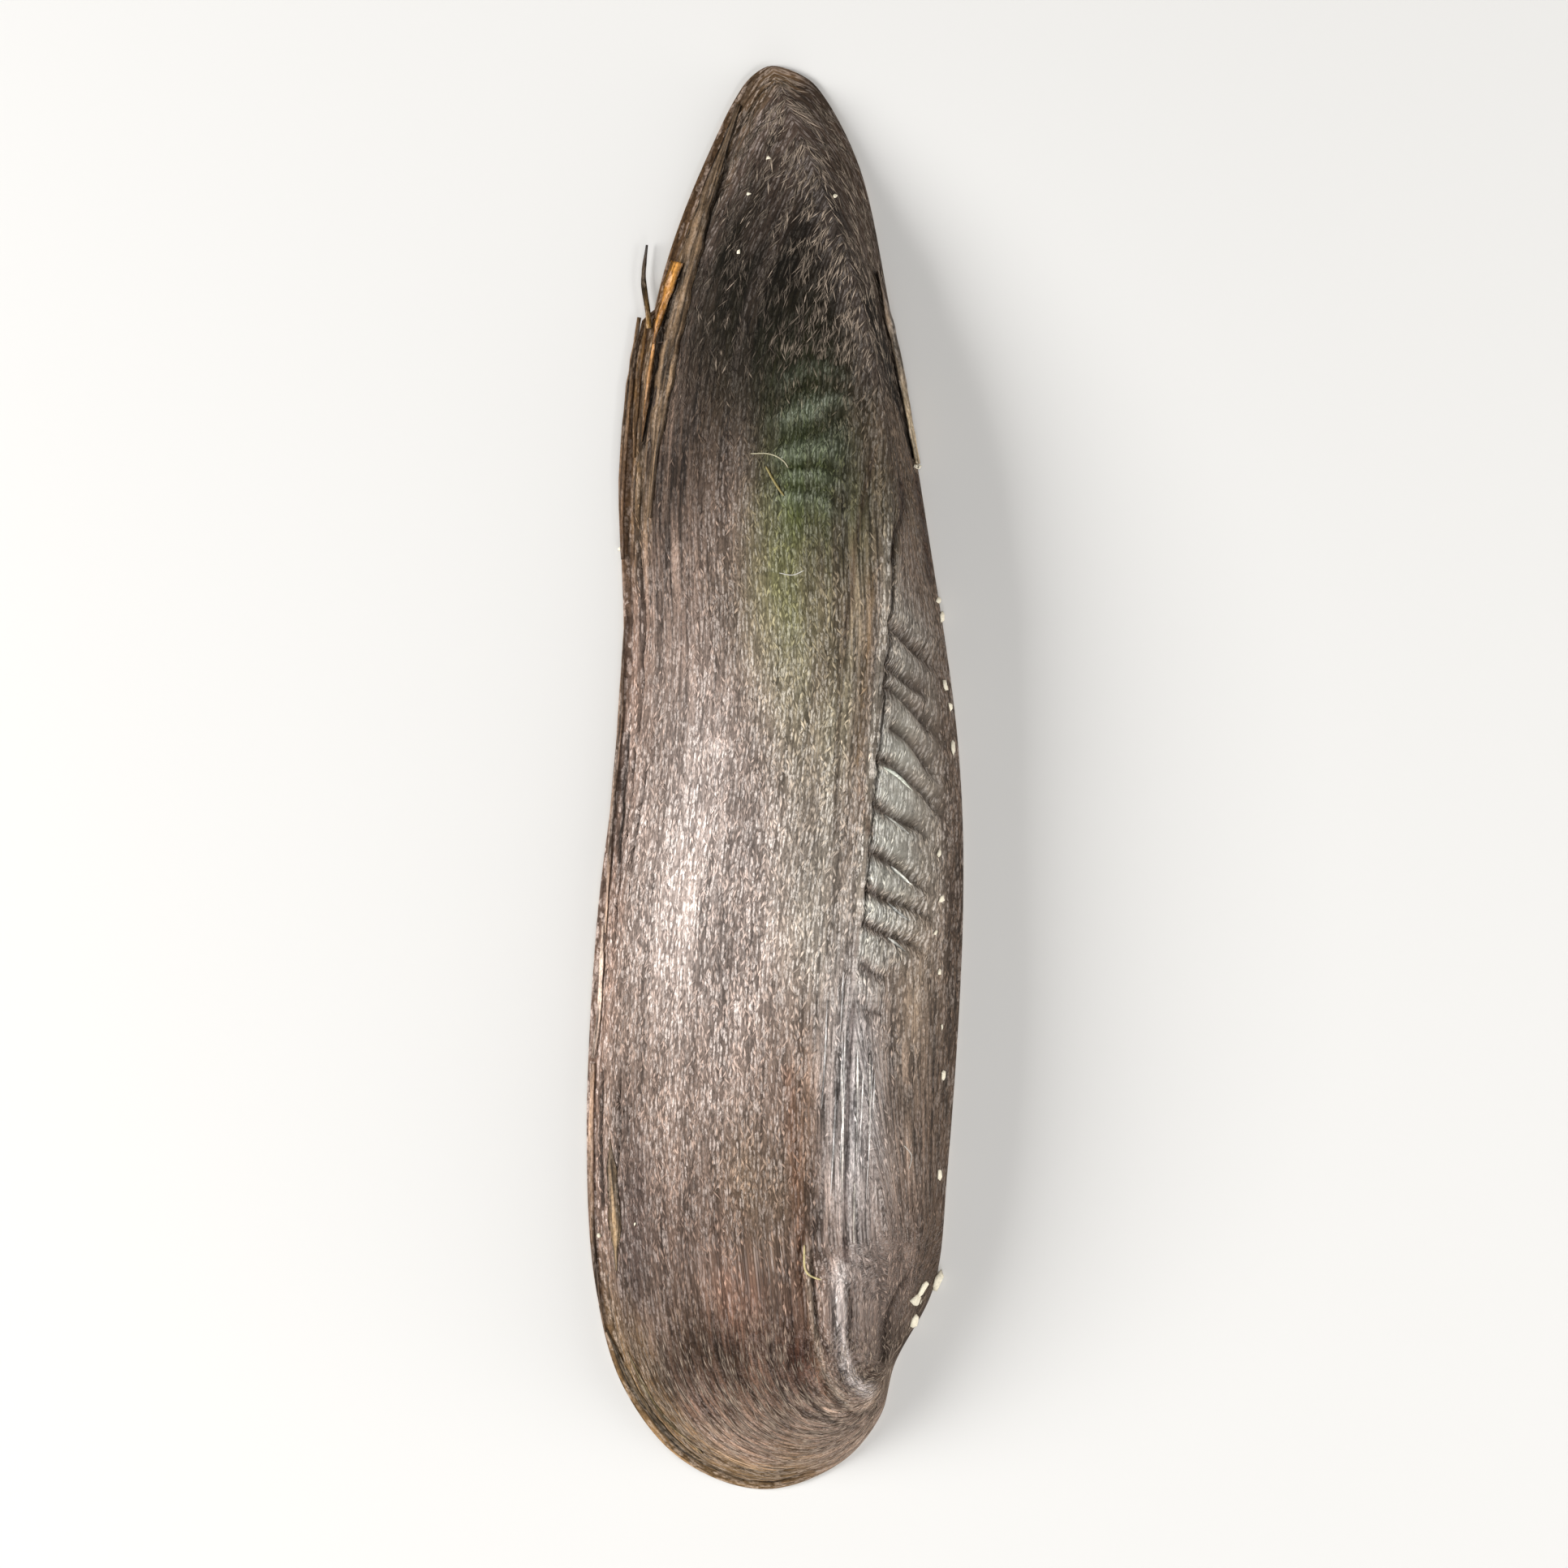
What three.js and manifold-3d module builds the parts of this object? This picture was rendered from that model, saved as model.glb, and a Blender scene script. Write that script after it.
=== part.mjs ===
// One valve of a lance-shaped freshwater mussel, lying on its margin with the hollow side down.
// Millimetres, +Z up, +Y towards the pointed rear tip, +X towards the hinge margin.
// The origin is in the rest plane, under the middle of the valve.
import * as THREE from "three";
import { mergeVertices } from "three/addons/utils/BufferGeometryUtils.js";
import Module from "manifold-3d";

const wasm = await Module();
wasm.setup();

// Driving dimensions
const LENGTH = 130; // front end to rear tip
const HEIGHT = 34.4; // belly margin to hinge margin
const INFLATION = 12.5; // rest plane to the top of the back

// Shell wall
const LIP = 0.4; // upright edge of the margin, all round
const FRONT_WALL = 2.1; // the front end is the oldest and thickest
const REAR_WALL = 1.0;
const RIM = 1.1; // width of the flat margin that the valve rests on
const HINGE_PLATE = { width: 3.2, front: [-0.42, -0.36], rear: [0.1, 0.22] }; // flat margin along the hinge
const THINNEST_HOLLOW = 0.3; // height of the hollow under the rear tip

// Outline from above, as shares of HEIGHT and LENGTH from the middle: rear tip, belly, front end, umbo, hinge
const OUTLINE = [
  [-0.011, 0.5],
  [-0.064, 0.492],
  [-0.108, 0.4755],
  [-0.2, 0.424],
  [-0.325, 0.347],
  [-0.377, 0.284],
  [-0.407, 0.193],
  [-0.401, 0.09],
  [-0.427, -0.001],
  [-0.472, -0.104],
  [-0.498, -0.252],
  [-0.476, -0.355],
  [-0.403, -0.427],
  [-0.248, -0.479],
  [-0.032, -0.5],
  [0.17, -0.482],
  [0.278, -0.449],
  [0.317, -0.412],
  [0.42, -0.358],
  [0.457, -0.275],
  [0.498, -0.092],
  [0.485, 0.022],
  [0.403, 0.176],
  [0.308, 0.324],
  [0.222, 0.43],
  [0.123, 0.481],
  [0.08, 0.492],
];
// Ridge of the back, front to rear, in the same shares
const RIDGE = [
  [0.022, -0.418],
  [0.103, -0.332],
  [0.172, -0.212],
  [0.218, -0.092],
  [0.256, 0.016],
  [0.287, 0.107],
  [0.3, 0.182],
  [0.282, 0.25],
  [0.231, 0.324],
  [0.136, 0.401],
  [0.045, 0.461],
];
const PEAK = -0.212 * LENGTH; // where the back is highest
const REAR_FALL = { end: 71, power: 2.2 }; // the back would come down to the rest plane here
const FRONT_FALL = { end: -73, power: 2.6 };
const BELLY_ROUNDING = 2.3; // powers of the fall from the ridge to each margin
const HINGE_ROUNDING = { front: 2.2, rear: 1.5, change: [-0.22, -0.02] }; // sharper to the rear

// Torn skin along the belly: the outermost strip has broken away from here to near the tip
const TEAR = { at: 0.323 * LENGTH, end: 0.43 * LENGTH, depth: 0.9, ramp: 0.5, reach: 0.8 };
// Growth ledges on the belly side: share of the way from margin to ridge, and drop
const LEDGES = [
  { share: 0.045, drop: 0.3 },
  { share: 0.1, drop: 0.25 },
  { share: 0.2, drop: 0.15 },
];
const LEDGE_WIDTH = 0.015;

// Relief that stands on the back
// Where the grooves between the pleats leave the ridge, in shares of LENGTH
const GROOVES = [0.107, 0.0785, 0.0645, 0.035, 0.014, -0.017, -0.05, -0.076, -0.099, -0.127];
const PLEATS = { across: 6.2, forwards: 4.4, bend: 1.6, fullness: 0.95, height: 0.6 };
const FOLDS = { count: 5, first: 0.279, last: 0.186, width: 1.5, height: 0.36 };
const FOLD_SPAN = [-0.02, 0.215]; // shares of HEIGHT
const FOLD_SAG = 0.9; // how far the ends of a fold bend forwards
const FLAP = { from: 0.3, to: 0.214, width: 0.7, height: 1.1 }; // skin standing up by the hinge margin
const SPLINTER = { base: 0.29, tip: 0.373, inset: 1.15, thickness: 0.55, lift: 0.6 };

// Hinge and inside of the hollow
const LONG_TOOTH = { from: -0.2, to: 0.13, inset: 1.7, thickness: 0.7 };
const SHORT_TOOTH = { from: -0.355, to: -0.285, inset: 1.8, thickness: 0.9 };
const SOCKET = { width: 0.8, depth: 0.8, steps: 12 };
const SCARS = [
  { across: -0.02, along: -0.395, radius: 3.6, stretch: 1.2, depth: 0.4 },
  { across: 0.12, along: 0.27, radius: 2.8, stretch: 2.0, depth: 0.3 },
];
const SCAR_FLATNESS = 0.35;

// Fineness of the facets
const OUTLINE_STEPS = 1200;
const STATIONS = 42;
const TIP_COLUMNS = 8;
const FRONT_COLUMNS = 15;
const BACK_SHARES = [0, 0.14, 0.28, 0.42, 0.55, 0.68, 0.785, 0.8, 0.885, 0.9, 0.94, 0.955, 1];
const HOLLOW_SHARES = [1, 0.94, 0.86, 0.74, 0.6, 0.44, 0.28, 0.13, 0];
const ROUND_SIDES = 8;

// Closed outline, fitted exactly to the box of LENGTH and HEIGHT
function fittedOutline() {
  const knots = OUTLINE.map(([across, along]) => new THREE.Vector3(across * HEIGHT, along * LENGTH, 0));
  const points = new THREE.CatmullRomCurve3(knots, true, "centripetal").getSpacedPoints(OUTLINE_STEPS);
  const box = new THREE.Box3().setFromPoints(points);
  const middle = box.getCenter(new THREE.Vector3());
  const size = box.getSize(new THREE.Vector3());
  const fit = new THREE.Vector3(HEIGHT / size.x, LENGTH / size.y, 1);
  return points.slice(0, -1).map((p) => p.sub(middle).multiply(fit));
}

// The outline runs from the tip down the belly, round the front and up the hinge: split it at both ends
function splitOutline(points) {
  const highest = points.reduce((best, p, i) => (p.y > points[best].y ? i : best), 0);
  const turned = [...points.slice(highest), ...points.slice(0, highest)];
  const lowest = turned.reduce((best, p, i) => (p.y < turned[best].y ? i : best), 0);
  return { belly: turned.slice(0, lowest + 1), hinge: [...turned.slice(lowest), turned[0]] };
}

// Where a line of points that climbs or falls in y crosses the height y
function crossing(line, y) {
  const rising = line.at(-1).y > line[0].y;
  const next = line.findIndex((p) => (rising ? p.y >= y : p.y <= y));
  if (next <= 0) return (next === 0 ? line[0] : line.at(-1)).x;
  const [a, b] = [line[next - 1], line[next]];
  return a.x + ((b.x - a.x) * (y - a.y)) / (b.y - a.y);
}

const smoothstep = THREE.MathUtils.smoothstep;
const lerp = THREE.MathUtils.lerp;
const sides = splitOutline(fittedOutline());
const ridgeLine = new THREE.CatmullRomCurve3(
  RIDGE.map(([across, along]) => new THREE.Vector3(across * HEIGHT, along * LENGTH, 0)),
  false,
  "centripetal",
).getSpacedPoints(OUTLINE_STEPS);
const FRONT_END = ridgeLine[0];
const REAR_END = ridgeLine.at(-1);

const ridgeX = (y) => crossing(ridgeLine, y);
const hingeX = (y) => crossing(sides.hinge, y);
const bellyX = (y) => crossing(sides.belly, y);

// How far the belly margin is drawn in where its outermost strip has broken away
function tornDepth(y) {
  const torn = smoothstep(y, TEAR.at, TEAR.at + TEAR.ramp) * (1 - smoothstep(y, TEAR.at, TEAR.end));
  return TEAR.depth * torn;
}

// Height of the ridge over the rest plane
function crestHeight(y) {
  const fall = y > PEAK ? REAR_FALL : FRONT_FALL;
  return INFLATION * (1 - ((y - PEAK) / (fall.end - PEAK)) ** fall.power);
}

function wallThickness(y) {
  return lerp(FRONT_WALL, REAR_WALL, smoothstep(y, -LENGTH / 2, LENGTH / 2));
}

// How much a column that runs from the ridge towards +X belongs to the hinge side: 0 belly, 1 hinge
const hingeShare = (directionX) => smoothstep(directionX, -1, 1);

function rounding(y, directionX) {
  const sharpened = smoothstep(y / LENGTH, ...HINGE_ROUNDING.change);
  const hinge = lerp(HINGE_ROUNDING.front, HINGE_ROUNDING.rear, sharpened);
  return lerp(BELLY_ROUNDING, hinge, hingeShare(directionX));
}

// Total drop of the growth ledges passed on the way out from the ridge
function ledgeDrop(shareFromRidge, directionX) {
  const passed = LEDGES.map((ledge) => {
    const edge = 1 - ledge.share;
    return ledge.drop * smoothstep(shareFromRidge, edge - LEDGE_WIDTH, edge);
  });
  const total = LEDGES.reduce((sum, ledge) => sum + ledge.drop, 0);
  const fallen = passed.reduce((sum, drop) => sum + drop, 0);
  const fade = 1 - hingeShare(directionX);
  return fade * (fallen - total * shareFromRidge ** BELLY_ROUNDING);
}

// Height of the back at a share of the way from the ridge to the margin
function backHeight(y, share, directionX) {
  const crest = crestHeight(y);
  const dome = LIP + (crest - LIP) * (1 - share ** rounding(y, directionX));
  return Math.max(LIP, dome - (crest / INFLATION) * ledgeDrop(share, directionX));
}

// Height of the hollow's ceiling at a share of the way from the ridge to the inner edge of the margin
function hollowHeight(y, share, directionX) {
  const ceiling = Math.max(THINNEST_HOLLOW, crestHeight(y) - wallThickness(y));
  return ceiling * (1 - share ** rounding(y, directionX));
}

// The back at any point between the ends of the ridge
function backAt(x, y) {
  const ridge = ridgeX(y);
  const edge = x < ridge ? bellyX(y) : hingeX(y);
  return backHeight(y, (x - ridge) / (edge - ridge), x < ridge ? -1 : 1);
}

// Columns from the ridge out to the margin, in order round the outline
function marginColumns() {
  const span = REAR_END.y - FRONT_END.y;
  const even = Array.from({ length: STATIONS + 1 }, (_, i) => FRONT_END.y + (span * i) / STATIONS);
  const stations = [...even, TEAR.at, TEAR.at + TEAR.ramp].sort((a, b) => b - a);
  const station = (edgeX) => (y) => ({ edge: new THREE.Vector2(edgeX(y), y), ridge: [ridgeX(y), y] });
  const fan = (line, count, end) => {
    const path = new THREE.CurvePath();
    line.slice(1).forEach((p, i) => path.add(new THREE.LineCurve3(line[i], p)));
    return Array.from({ length: count }, (_, i) => {
      const p = path.getPointAt((i + 1) / (count + 1));
      return { edge: new THREE.Vector2(p.x, p.y), ridge: [end.x, end.y] };
    });
  };
  const pastRear = (p) => p.y > REAR_END.y;
  const pastFront = (p) => p.y < FRONT_END.y;
  const tipLine = [...sides.hinge.filter(pastRear), ...sides.belly.filter(pastRear)];
  const frontLine = [...sides.belly.filter(pastFront), ...sides.hinge.filter(pastFront)];
  return [
    ...stations.map(station(bellyX)),
    ...fan(frontLine, FRONT_COLUMNS, FRONT_END),
    ...stations.toReversed().map(station(hingeX)),
    ...fan(tipLine, TIP_COLUMNS, REAR_END),
  ];
}

// Width of the flat margin under one column: wide along the hinge, narrow elsewhere
function rimWidth(directionX, y) {
  const towardsHinge = smoothstep(directionX, 0.6, 1);
  const begun = smoothstep(y / LENGTH, ...HINGE_PLATE.front);
  const ended = smoothstep(y / LENGTH, ...HINGE_PLATE.rear);
  return lerp(RIM, HINGE_PLATE.width, towardsHinge * begun * (1 - ended));
}

// Points of one column: over the back to the margin, under the lip, then up the hollow to below the ridge
function columnPoints({ edge, ridge }) {
  const top = new THREE.Vector2(...ridge);
  const out = edge.clone().sub(top);
  const reach = out.length();
  const directionX = out.x / reach;
  const torn = directionX < 0 ? tornDepth(edge.y) : 0;
  const at = (base, share, height) => {
    const p = top.clone().lerp(base, share);
    return new THREE.Vector3(p.x + torn * smoothstep(share, TEAR.reach, 1), p.y, height(share, p.y));
  };
  const back = (share, y) => backHeight(y, share, directionX);
  const hollow = (share, y) => hollowHeight(y, share, directionX);
  const inner = edge.clone().addScaledVector(out, -rimWidth(directionX, edge.y) / reach);
  return [
    ...BACK_SHARES.map((share) => at(edge, share, back)),
    at(edge, 1, () => 0),
    ...HOLLOW_SHARES.map((share) => at(inner, share, hollow)),
  ];
}

// A closed triangle mesh as a solid, with its shared corners merged
function solid(geometry) {
  geometry.deleteAttribute("normal");
  geometry.deleteAttribute("uv");
  const merged = mergeVertices(geometry, 1e-4);
  const corners = [...merged.index.array];
  const triangles = [];
  for (let i = 0; i < corners.length; i += 3) {
    const [a, b, c] = corners.slice(i, i + 3);
    if (a !== b && b !== c && c !== a) triangles.push(a, b, c);
  }
  const vertProperties = merged.attributes.position.array;
  return new wasm.Manifold(
    new wasm.Mesh({ numProp: 3, vertProperties, triVerts: new Uint32Array(triangles) }),
  );
}

function bareValve() {
  const columns = marginColumns().map(columnPoints);
  const rows = columns[0].length;
  const index = [];
  columns.forEach((_, j) => {
    const next = (j + 1) % columns.length;
    for (let i = 0; i + 1 < rows; i++) {
      const [a, b] = [j * rows + i, next * rows + i];
      index.push(a, a + 1, b, b, a + 1, b + 1);
    }
  });
  return solid(new THREE.BufferGeometry().setFromPoints(columns.flat()).setIndex(index));
}

// A low ridge that tapers to both ends of a curve
function spindle(points, width, height, alongSteps = ROUND_SIDES) {
  const path = new THREE.CatmullRomCurve3(points);
  const geometry = new THREE.SphereGeometry(1, ROUND_SIDES, alongSteps);
  const position = geometry.attributes.position;
  for (let i = 0; i < position.count; i++) {
    const [x, along, z] = [position.getX(i), position.getY(i), position.getZ(i)];
    const share = (1 - along) / 2;
    const tangent = path.getTangent(share);
    const sideways = new THREE.Vector3(-tangent.y, tangent.x, 0).normalize();
    const p = path.getPoint(share).addScaledVector(sideways, (x * width) / 2);
    position.setXYZ(i, p.x, p.y, p.z + z * height);
  }
  return solid(geometry);
}

const THIRDS = [0, 1 / 3, 2 / 3, 1];
const onBack = (x, y) => new THREE.Vector3(x, y, backAt(x, y));

// Oblique pleats on the slope between the ridge and the hinge margin, one between each two grooves
function pleats() {
  return GROOVES.slice(1).map((groove, i) => {
    const start = (LENGTH * (GROOVES[i] + groove)) / 2;
    const points = THIRDS.map((t) =>
      onBack(ridgeX(start) + PLEATS.across * t, start - PLEATS.forwards * t ** PLEATS.bend),
    );
    return spindle(points, PLEATS.fullness * LENGTH * (GROOVES[i] - groove), PLEATS.height);
  });
}

// Cross folds on the back, over the younger half of the valve
function folds() {
  return Array.from({ length: FOLDS.count }, (_, i) => {
    const y = LENGTH * lerp(FOLDS.first, FOLDS.last, i / (FOLDS.count - 1));
    const points = [-1, -0.5, 0, 0.5, 1].map((t) =>
      onBack(HEIGHT * lerp(...FOLD_SPAN, (t + 1) / 2), y - FOLD_SAG * t * t),
    );
    return spindle(points, FOLDS.width, FOLDS.height);
  });
}

// Strip of dry skin that stands up along the hinge margin behind the ligament
function flap() {
  const points = THIRDS.map((t) => {
    const y = LENGTH * lerp(FLAP.from, FLAP.to, t);
    return new THREE.Vector3(hingeX(y) - FLAP.width / 2, y, FLAP.height);
  });
  return spindle(points, FLAP.width, FLAP.height);
}

// Sliver of skin that sticks out where the belly strip tore
function splinter() {
  const points = THIRDS.map((t) => {
    const y = LENGTH * lerp(SPLINTER.base, SPLINTER.tip, t);
    return new THREE.Vector3(bellyX(LENGTH * SPLINTER.base) + SPLINTER.inset, y, SPLINTER.lift);
  });
  return spindle(points, SPLINTER.thickness, SPLINTER.thickness);
}

// Grooves on both sides of a hinge tooth: its crest stays level with the rest plane
function sockets(tooth) {
  return [-1, 1].map((side) => {
    const offset = (tooth.thickness + SOCKET.width) / 2;
    const points = THIRDS.map((t) => {
      const y = LENGTH * lerp(tooth.from, tooth.to, t);
      return new THREE.Vector3(hingeX(y) - tooth.inset + side * offset, y, 0);
    });
    return spindle(points, SOCKET.width, SOCKET.depth, SOCKET.steps);
  });
}

// Shallow pit in the ceiling of the hollow, belly side of the ridge, where a closing muscle held on
function scar({ across, along, radius, stretch, depth }) {
  const [x, y] = [across * HEIGHT, along * LENGTH];
  const shareFromRidge = (ridgeX(y) - x) / (ridgeX(y) - bellyX(y) - RIM);
  const top = hollowHeight(y, shareFromRidge, -1) + depth;
  const pit = new THREE.SphereGeometry(radius, ROUND_SIDES, ROUND_SIDES).scale(1, stretch, SCAR_FLATNESS);
  return solid(pit.translate(x, y, top - radius * SCAR_FLATNESS));
}

const raised = [...pleats(), ...folds(), flap(), splinter()];
const sunk = [...sockets(LONG_TOOTH), ...sockets(SHORT_TOOTH), ...SCARS.map(scar)];
const covered = raised.reduce((body, relief) => body.add(relief), bareValve());
const whole = sunk.reduce((body, pit) => body.subtract(pit), covered);

// Solid back to a three.js geometry
function geometryOf(manifold) {
  const { vertProperties, triVerts } = manifold.getMesh();
  const geometry = new THREE.BufferGeometry();
  geometry.setAttribute("position", new THREE.BufferAttribute(vertProperties, 3));
  return geometry.setIndex(new THREE.BufferAttribute(triVerts, 1));
}

const skin = new THREE.MeshStandardMaterial({ color: 0x7d6b5f, roughness: 0.55, metalness: 0 });
const valve = new THREE.Mesh(geometryOf(whole), skin);
valve.name = "valve";

const shell = new THREE.Group();
shell.add(valve);
export default shell;
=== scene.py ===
"""One dry valve of a lance-shaped freshwater mussel, lying hollow side down, seen from straight above.

The shell is built in millimetres: +Y towards the pointed rear tip, +X towards the hinge margin, +Z up.
"""
import math

import bpy
import numpy as np
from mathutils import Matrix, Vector
from mathutils.bvhtree import BVHTree


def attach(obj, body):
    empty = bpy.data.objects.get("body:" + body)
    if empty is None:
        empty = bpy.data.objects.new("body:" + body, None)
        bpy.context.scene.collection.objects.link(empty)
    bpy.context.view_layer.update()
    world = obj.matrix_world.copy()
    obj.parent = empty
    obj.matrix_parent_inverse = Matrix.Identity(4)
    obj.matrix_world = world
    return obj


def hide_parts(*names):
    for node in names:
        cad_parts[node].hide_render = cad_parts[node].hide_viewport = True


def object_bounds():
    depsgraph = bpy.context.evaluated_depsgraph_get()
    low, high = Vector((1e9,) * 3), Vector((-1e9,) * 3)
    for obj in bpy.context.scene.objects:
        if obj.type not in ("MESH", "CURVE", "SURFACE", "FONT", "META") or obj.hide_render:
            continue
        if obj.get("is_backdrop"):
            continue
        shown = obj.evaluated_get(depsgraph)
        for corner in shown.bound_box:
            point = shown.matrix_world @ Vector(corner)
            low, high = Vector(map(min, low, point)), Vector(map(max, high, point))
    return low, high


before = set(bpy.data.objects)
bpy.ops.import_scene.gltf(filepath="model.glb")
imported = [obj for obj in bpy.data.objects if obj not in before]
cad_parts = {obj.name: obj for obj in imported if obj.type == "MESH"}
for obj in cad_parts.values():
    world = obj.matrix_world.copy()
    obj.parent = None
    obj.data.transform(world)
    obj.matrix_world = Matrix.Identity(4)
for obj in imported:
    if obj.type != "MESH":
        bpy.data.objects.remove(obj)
cad_box = [list(corner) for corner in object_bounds()]

MM = 0.001

# Size of the valve
LENGTH = 130.0
HEIGHT = 34.4
INFLATION = 12.5
LIP = 0.4
FRONT_WALL = 2.1
REAR_WALL = 1.0
RIM = 1.1
HINGE_PLATE = {"width": 3.2, "front": (-0.42, -0.36), "rear": (0.10, 0.22)}
THINNEST_HOLLOW = 0.3

# Outline from above, as shares of HEIGHT and LENGTH: rear tip, belly, front end, umbo, hinge
OUTLINE = [
    (-0.011, 0.500), (-0.064, 0.492), (-0.108, 0.4755), (-0.200, 0.424), (-0.325, 0.347),
    (-0.377, 0.284), (-0.407, 0.193), (-0.401, 0.090), (-0.427, -0.001), (-0.472, -0.104),
    (-0.498, -0.252), (-0.476, -0.355), (-0.403, -0.427), (-0.248, -0.479), (-0.032, -0.500),
    (0.170, -0.482), (0.278, -0.449), (0.317, -0.412), (0.420, -0.358), (0.457, -0.275),
    (0.498, -0.092), (0.485, 0.022), (0.403, 0.176), (0.308, 0.324), (0.222, 0.430),
    (0.123, 0.481), (0.080, 0.492),
]
# Ridge of the back, front to rear, in the same shares
RIDGE = [
    (0.022, -0.418), (0.103, -0.332), (0.172, -0.212), (0.218, -0.092), (0.256, 0.016), (0.287, 0.107),
    (0.300, 0.182), (0.282, 0.250), (0.231, 0.324), (0.136, 0.401), (0.045, 0.461),
]
UMBO = np.array((0.291 * HEIGHT, -0.412 * LENGTH))
PEAK = -0.212 * LENGTH
REAR_FALL = {"end": 71.0, "power": 2.2}
FRONT_FALL = {"end": -73.0, "power": 2.6}
BELLY_ROUNDING = 2.3
HINGE_ROUNDING = {"front": 2.2, "rear": 1.5, "change": (-0.22, -0.02)}
TEAR = {"at": 0.323 * LENGTH, "end": 0.43 * LENGTH, "depth": 0.9, "ramp": 0.5, "reach": 0.8}

# Hinge and inside of the hollow
LONG_TOOTH = {"from": -0.2, "to": 0.13, "inset": 1.7, "thickness": 0.7}
SHORT_TOOTH = {"from": -0.355, "to": -0.285, "inset": 1.8, "thickness": 0.9}
SOCKET = {"width": 0.8, "depth": 0.8}
# No groove may reach through the thin wall at the rear
DEEPEST_RELIEF = 0.6
SCARS = [
    {"at": (-0.02, -0.395), "reach": (2.8, 3.3), "depth": 0.4},
    {"at": (0.12, 0.27), "reach": (2.1, 4.2), "depth": 0.3},
]
MANTLE_LINE = {"share": 0.8, "width": 0.025, "depth": 0.12}

# Fineness of the mesh
STATIONS = 310
FRONT_COLUMNS = 72
TIP_COLUMNS = 32
BACK_RINGS = 94
RIM_RINGS = 9
HOLLOW_RINGS = 28
RINGS = BACK_RINGS + RIM_RINGS + HOLLOW_RINGS
RING_CROWDING = 1.4
SHARP_ANGLE = math.radians(60)
NOISE_CELLS = 256
PATH_STEPS = 6
PLEAT_STATIONS = {"rear": (0.14, 0.11), "front": (-0.19, -0.16), "crowding": 1.2, "steps": 2000}


def smoothstep(low, high, value):
    share = np.clip((value - low) / (high - low), 0.0, 1.0)
    return share * share * (3.0 - 2.0 * share)


def mix(a, b, share):
    return a + (b - a) * share


def shares_to_mm(points):
    return np.array(points) * (HEIGHT, LENGTH)


def value_noise(u, v, seed):
    """Smooth random field from 0 to 1 with one cell per unit."""
    table = np.random.default_rng(seed).random((NOISE_CELLS, NOISE_CELLS))
    u, v = np.broadcast_arrays(u, v)
    u0, v0 = np.floor(u).astype(int), np.floor(v).astype(int)
    fu, fv = smoothstep(0, 1, u - u0), smoothstep(0, 1, v - v0)
    corner = lambda i, j: table[(u0 + i) % NOISE_CELLS, (v0 + j) % NOISE_CELLS]
    near = mix(corner(0, 0), corner(1, 0), fu)
    far = mix(corner(0, 1), corner(1, 1), fu)
    return mix(near, far, fv)


def layered_noise(u, v, layers):
    """A broad and a fine noise about zero. Each layer is its cells per unit both ways and its seed."""
    broad, fine = (value_noise(u * across, v * along, seed) for across, along, seed in layers["noises"])
    return broad + layers["share"] * fine - (1 + layers["share"]) / 2


def catmull_rom(knots, closed, per_span=60):
    """Centripetal curve through the knots."""
    knots = np.asarray(knots, float)
    if closed:
        before, after, later = np.roll(knots, 1, 0), np.roll(knots, -1, 0), np.roll(knots, -2, 0)
        start = knots
    else:
        padded = np.vstack([2 * knots[0] - knots[1], knots, 2 * knots[-1] - knots[-2]])
        before, start, after, later = padded[:-3], padded[1:-2], padded[2:-1], padded[3:]
    gap = lambda a, b: np.sqrt(np.linalg.norm(b - a, axis=1))[:, None]
    g0, g1, g2 = gap(before, start), gap(start, after), gap(after, later)
    leave = ((start - before) / g0 - (after - before) / (g0 + g1) + (after - start) / g1) * g1
    arrive = ((after - start) / g1 - (later - start) / (g1 + g2) + (later - after) / g2) * g1
    t = np.linspace(0, 1, per_span, endpoint=False)[None, :, None]
    a, b, m, n = start[:, None], after[:, None], leave[:, None], arrive[:, None]
    cubic = 2 * a - 2 * b + m + n
    square = -3 * a + 3 * b - 2 * m - n
    curve = (((cubic * t) + square) * t + m) * t + a
    curve = curve.reshape(-1, knots.shape[1])
    return curve if closed else np.vstack([curve, knots[-1]])


def arc_lengths(points):
    return np.concatenate([[0.0], np.cumsum(np.linalg.norm(np.diff(points, axis=0), axis=1))])


# Outline, ridge and the lines that the form is measured from
def fitted_outline():
    points = catmull_rom(shares_to_mm(OUTLINE), closed=True)
    low, high = points.min(0), points.max(0)
    return (points - (low + high) / 2) * (np.array((HEIGHT, LENGTH)) / (high - low))


outline = fitted_outline()
outline = np.roll(outline, -int(np.argmax(outline[:, 1])), axis=0)
lowest = int(np.argmin(outline[:, 1]))
belly_line = outline[: lowest + 1]
hinge_line = np.vstack([outline[lowest:], outline[:1]])
ridge_line = catmull_rom(shares_to_mm(RIDGE), closed=False)
FRONT_END = ridge_line[0]
REAR_END = ridge_line[-1]
TIP = outline[0]


def belly_x(y):
    return np.interp(y, belly_line[::-1, 1], belly_line[::-1, 0])


def hinge_x(y):
    return np.interp(y, hinge_line[:, 1], hinge_line[:, 0])


def ridge_x(y):
    return np.interp(y, ridge_line[:, 1], ridge_line[:, 0])


def crest_height(y):
    """Height of the ridge, falling from its peak to both ends."""
    fallen = lambda fall: np.clip((y - PEAK) / (fall["end"] - PEAK), 0, 1) ** fall["power"]
    return INFLATION * (1 - np.where(y > PEAK, fallen(REAR_FALL), fallen(FRONT_FALL)))


def wall_thickness(y):
    return mix(FRONT_WALL, REAR_WALL, smoothstep(-LENGTH / 2, LENGTH / 2, y))


def hinge_share(direction_x):
    return smoothstep(-1, 1, direction_x)


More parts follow.
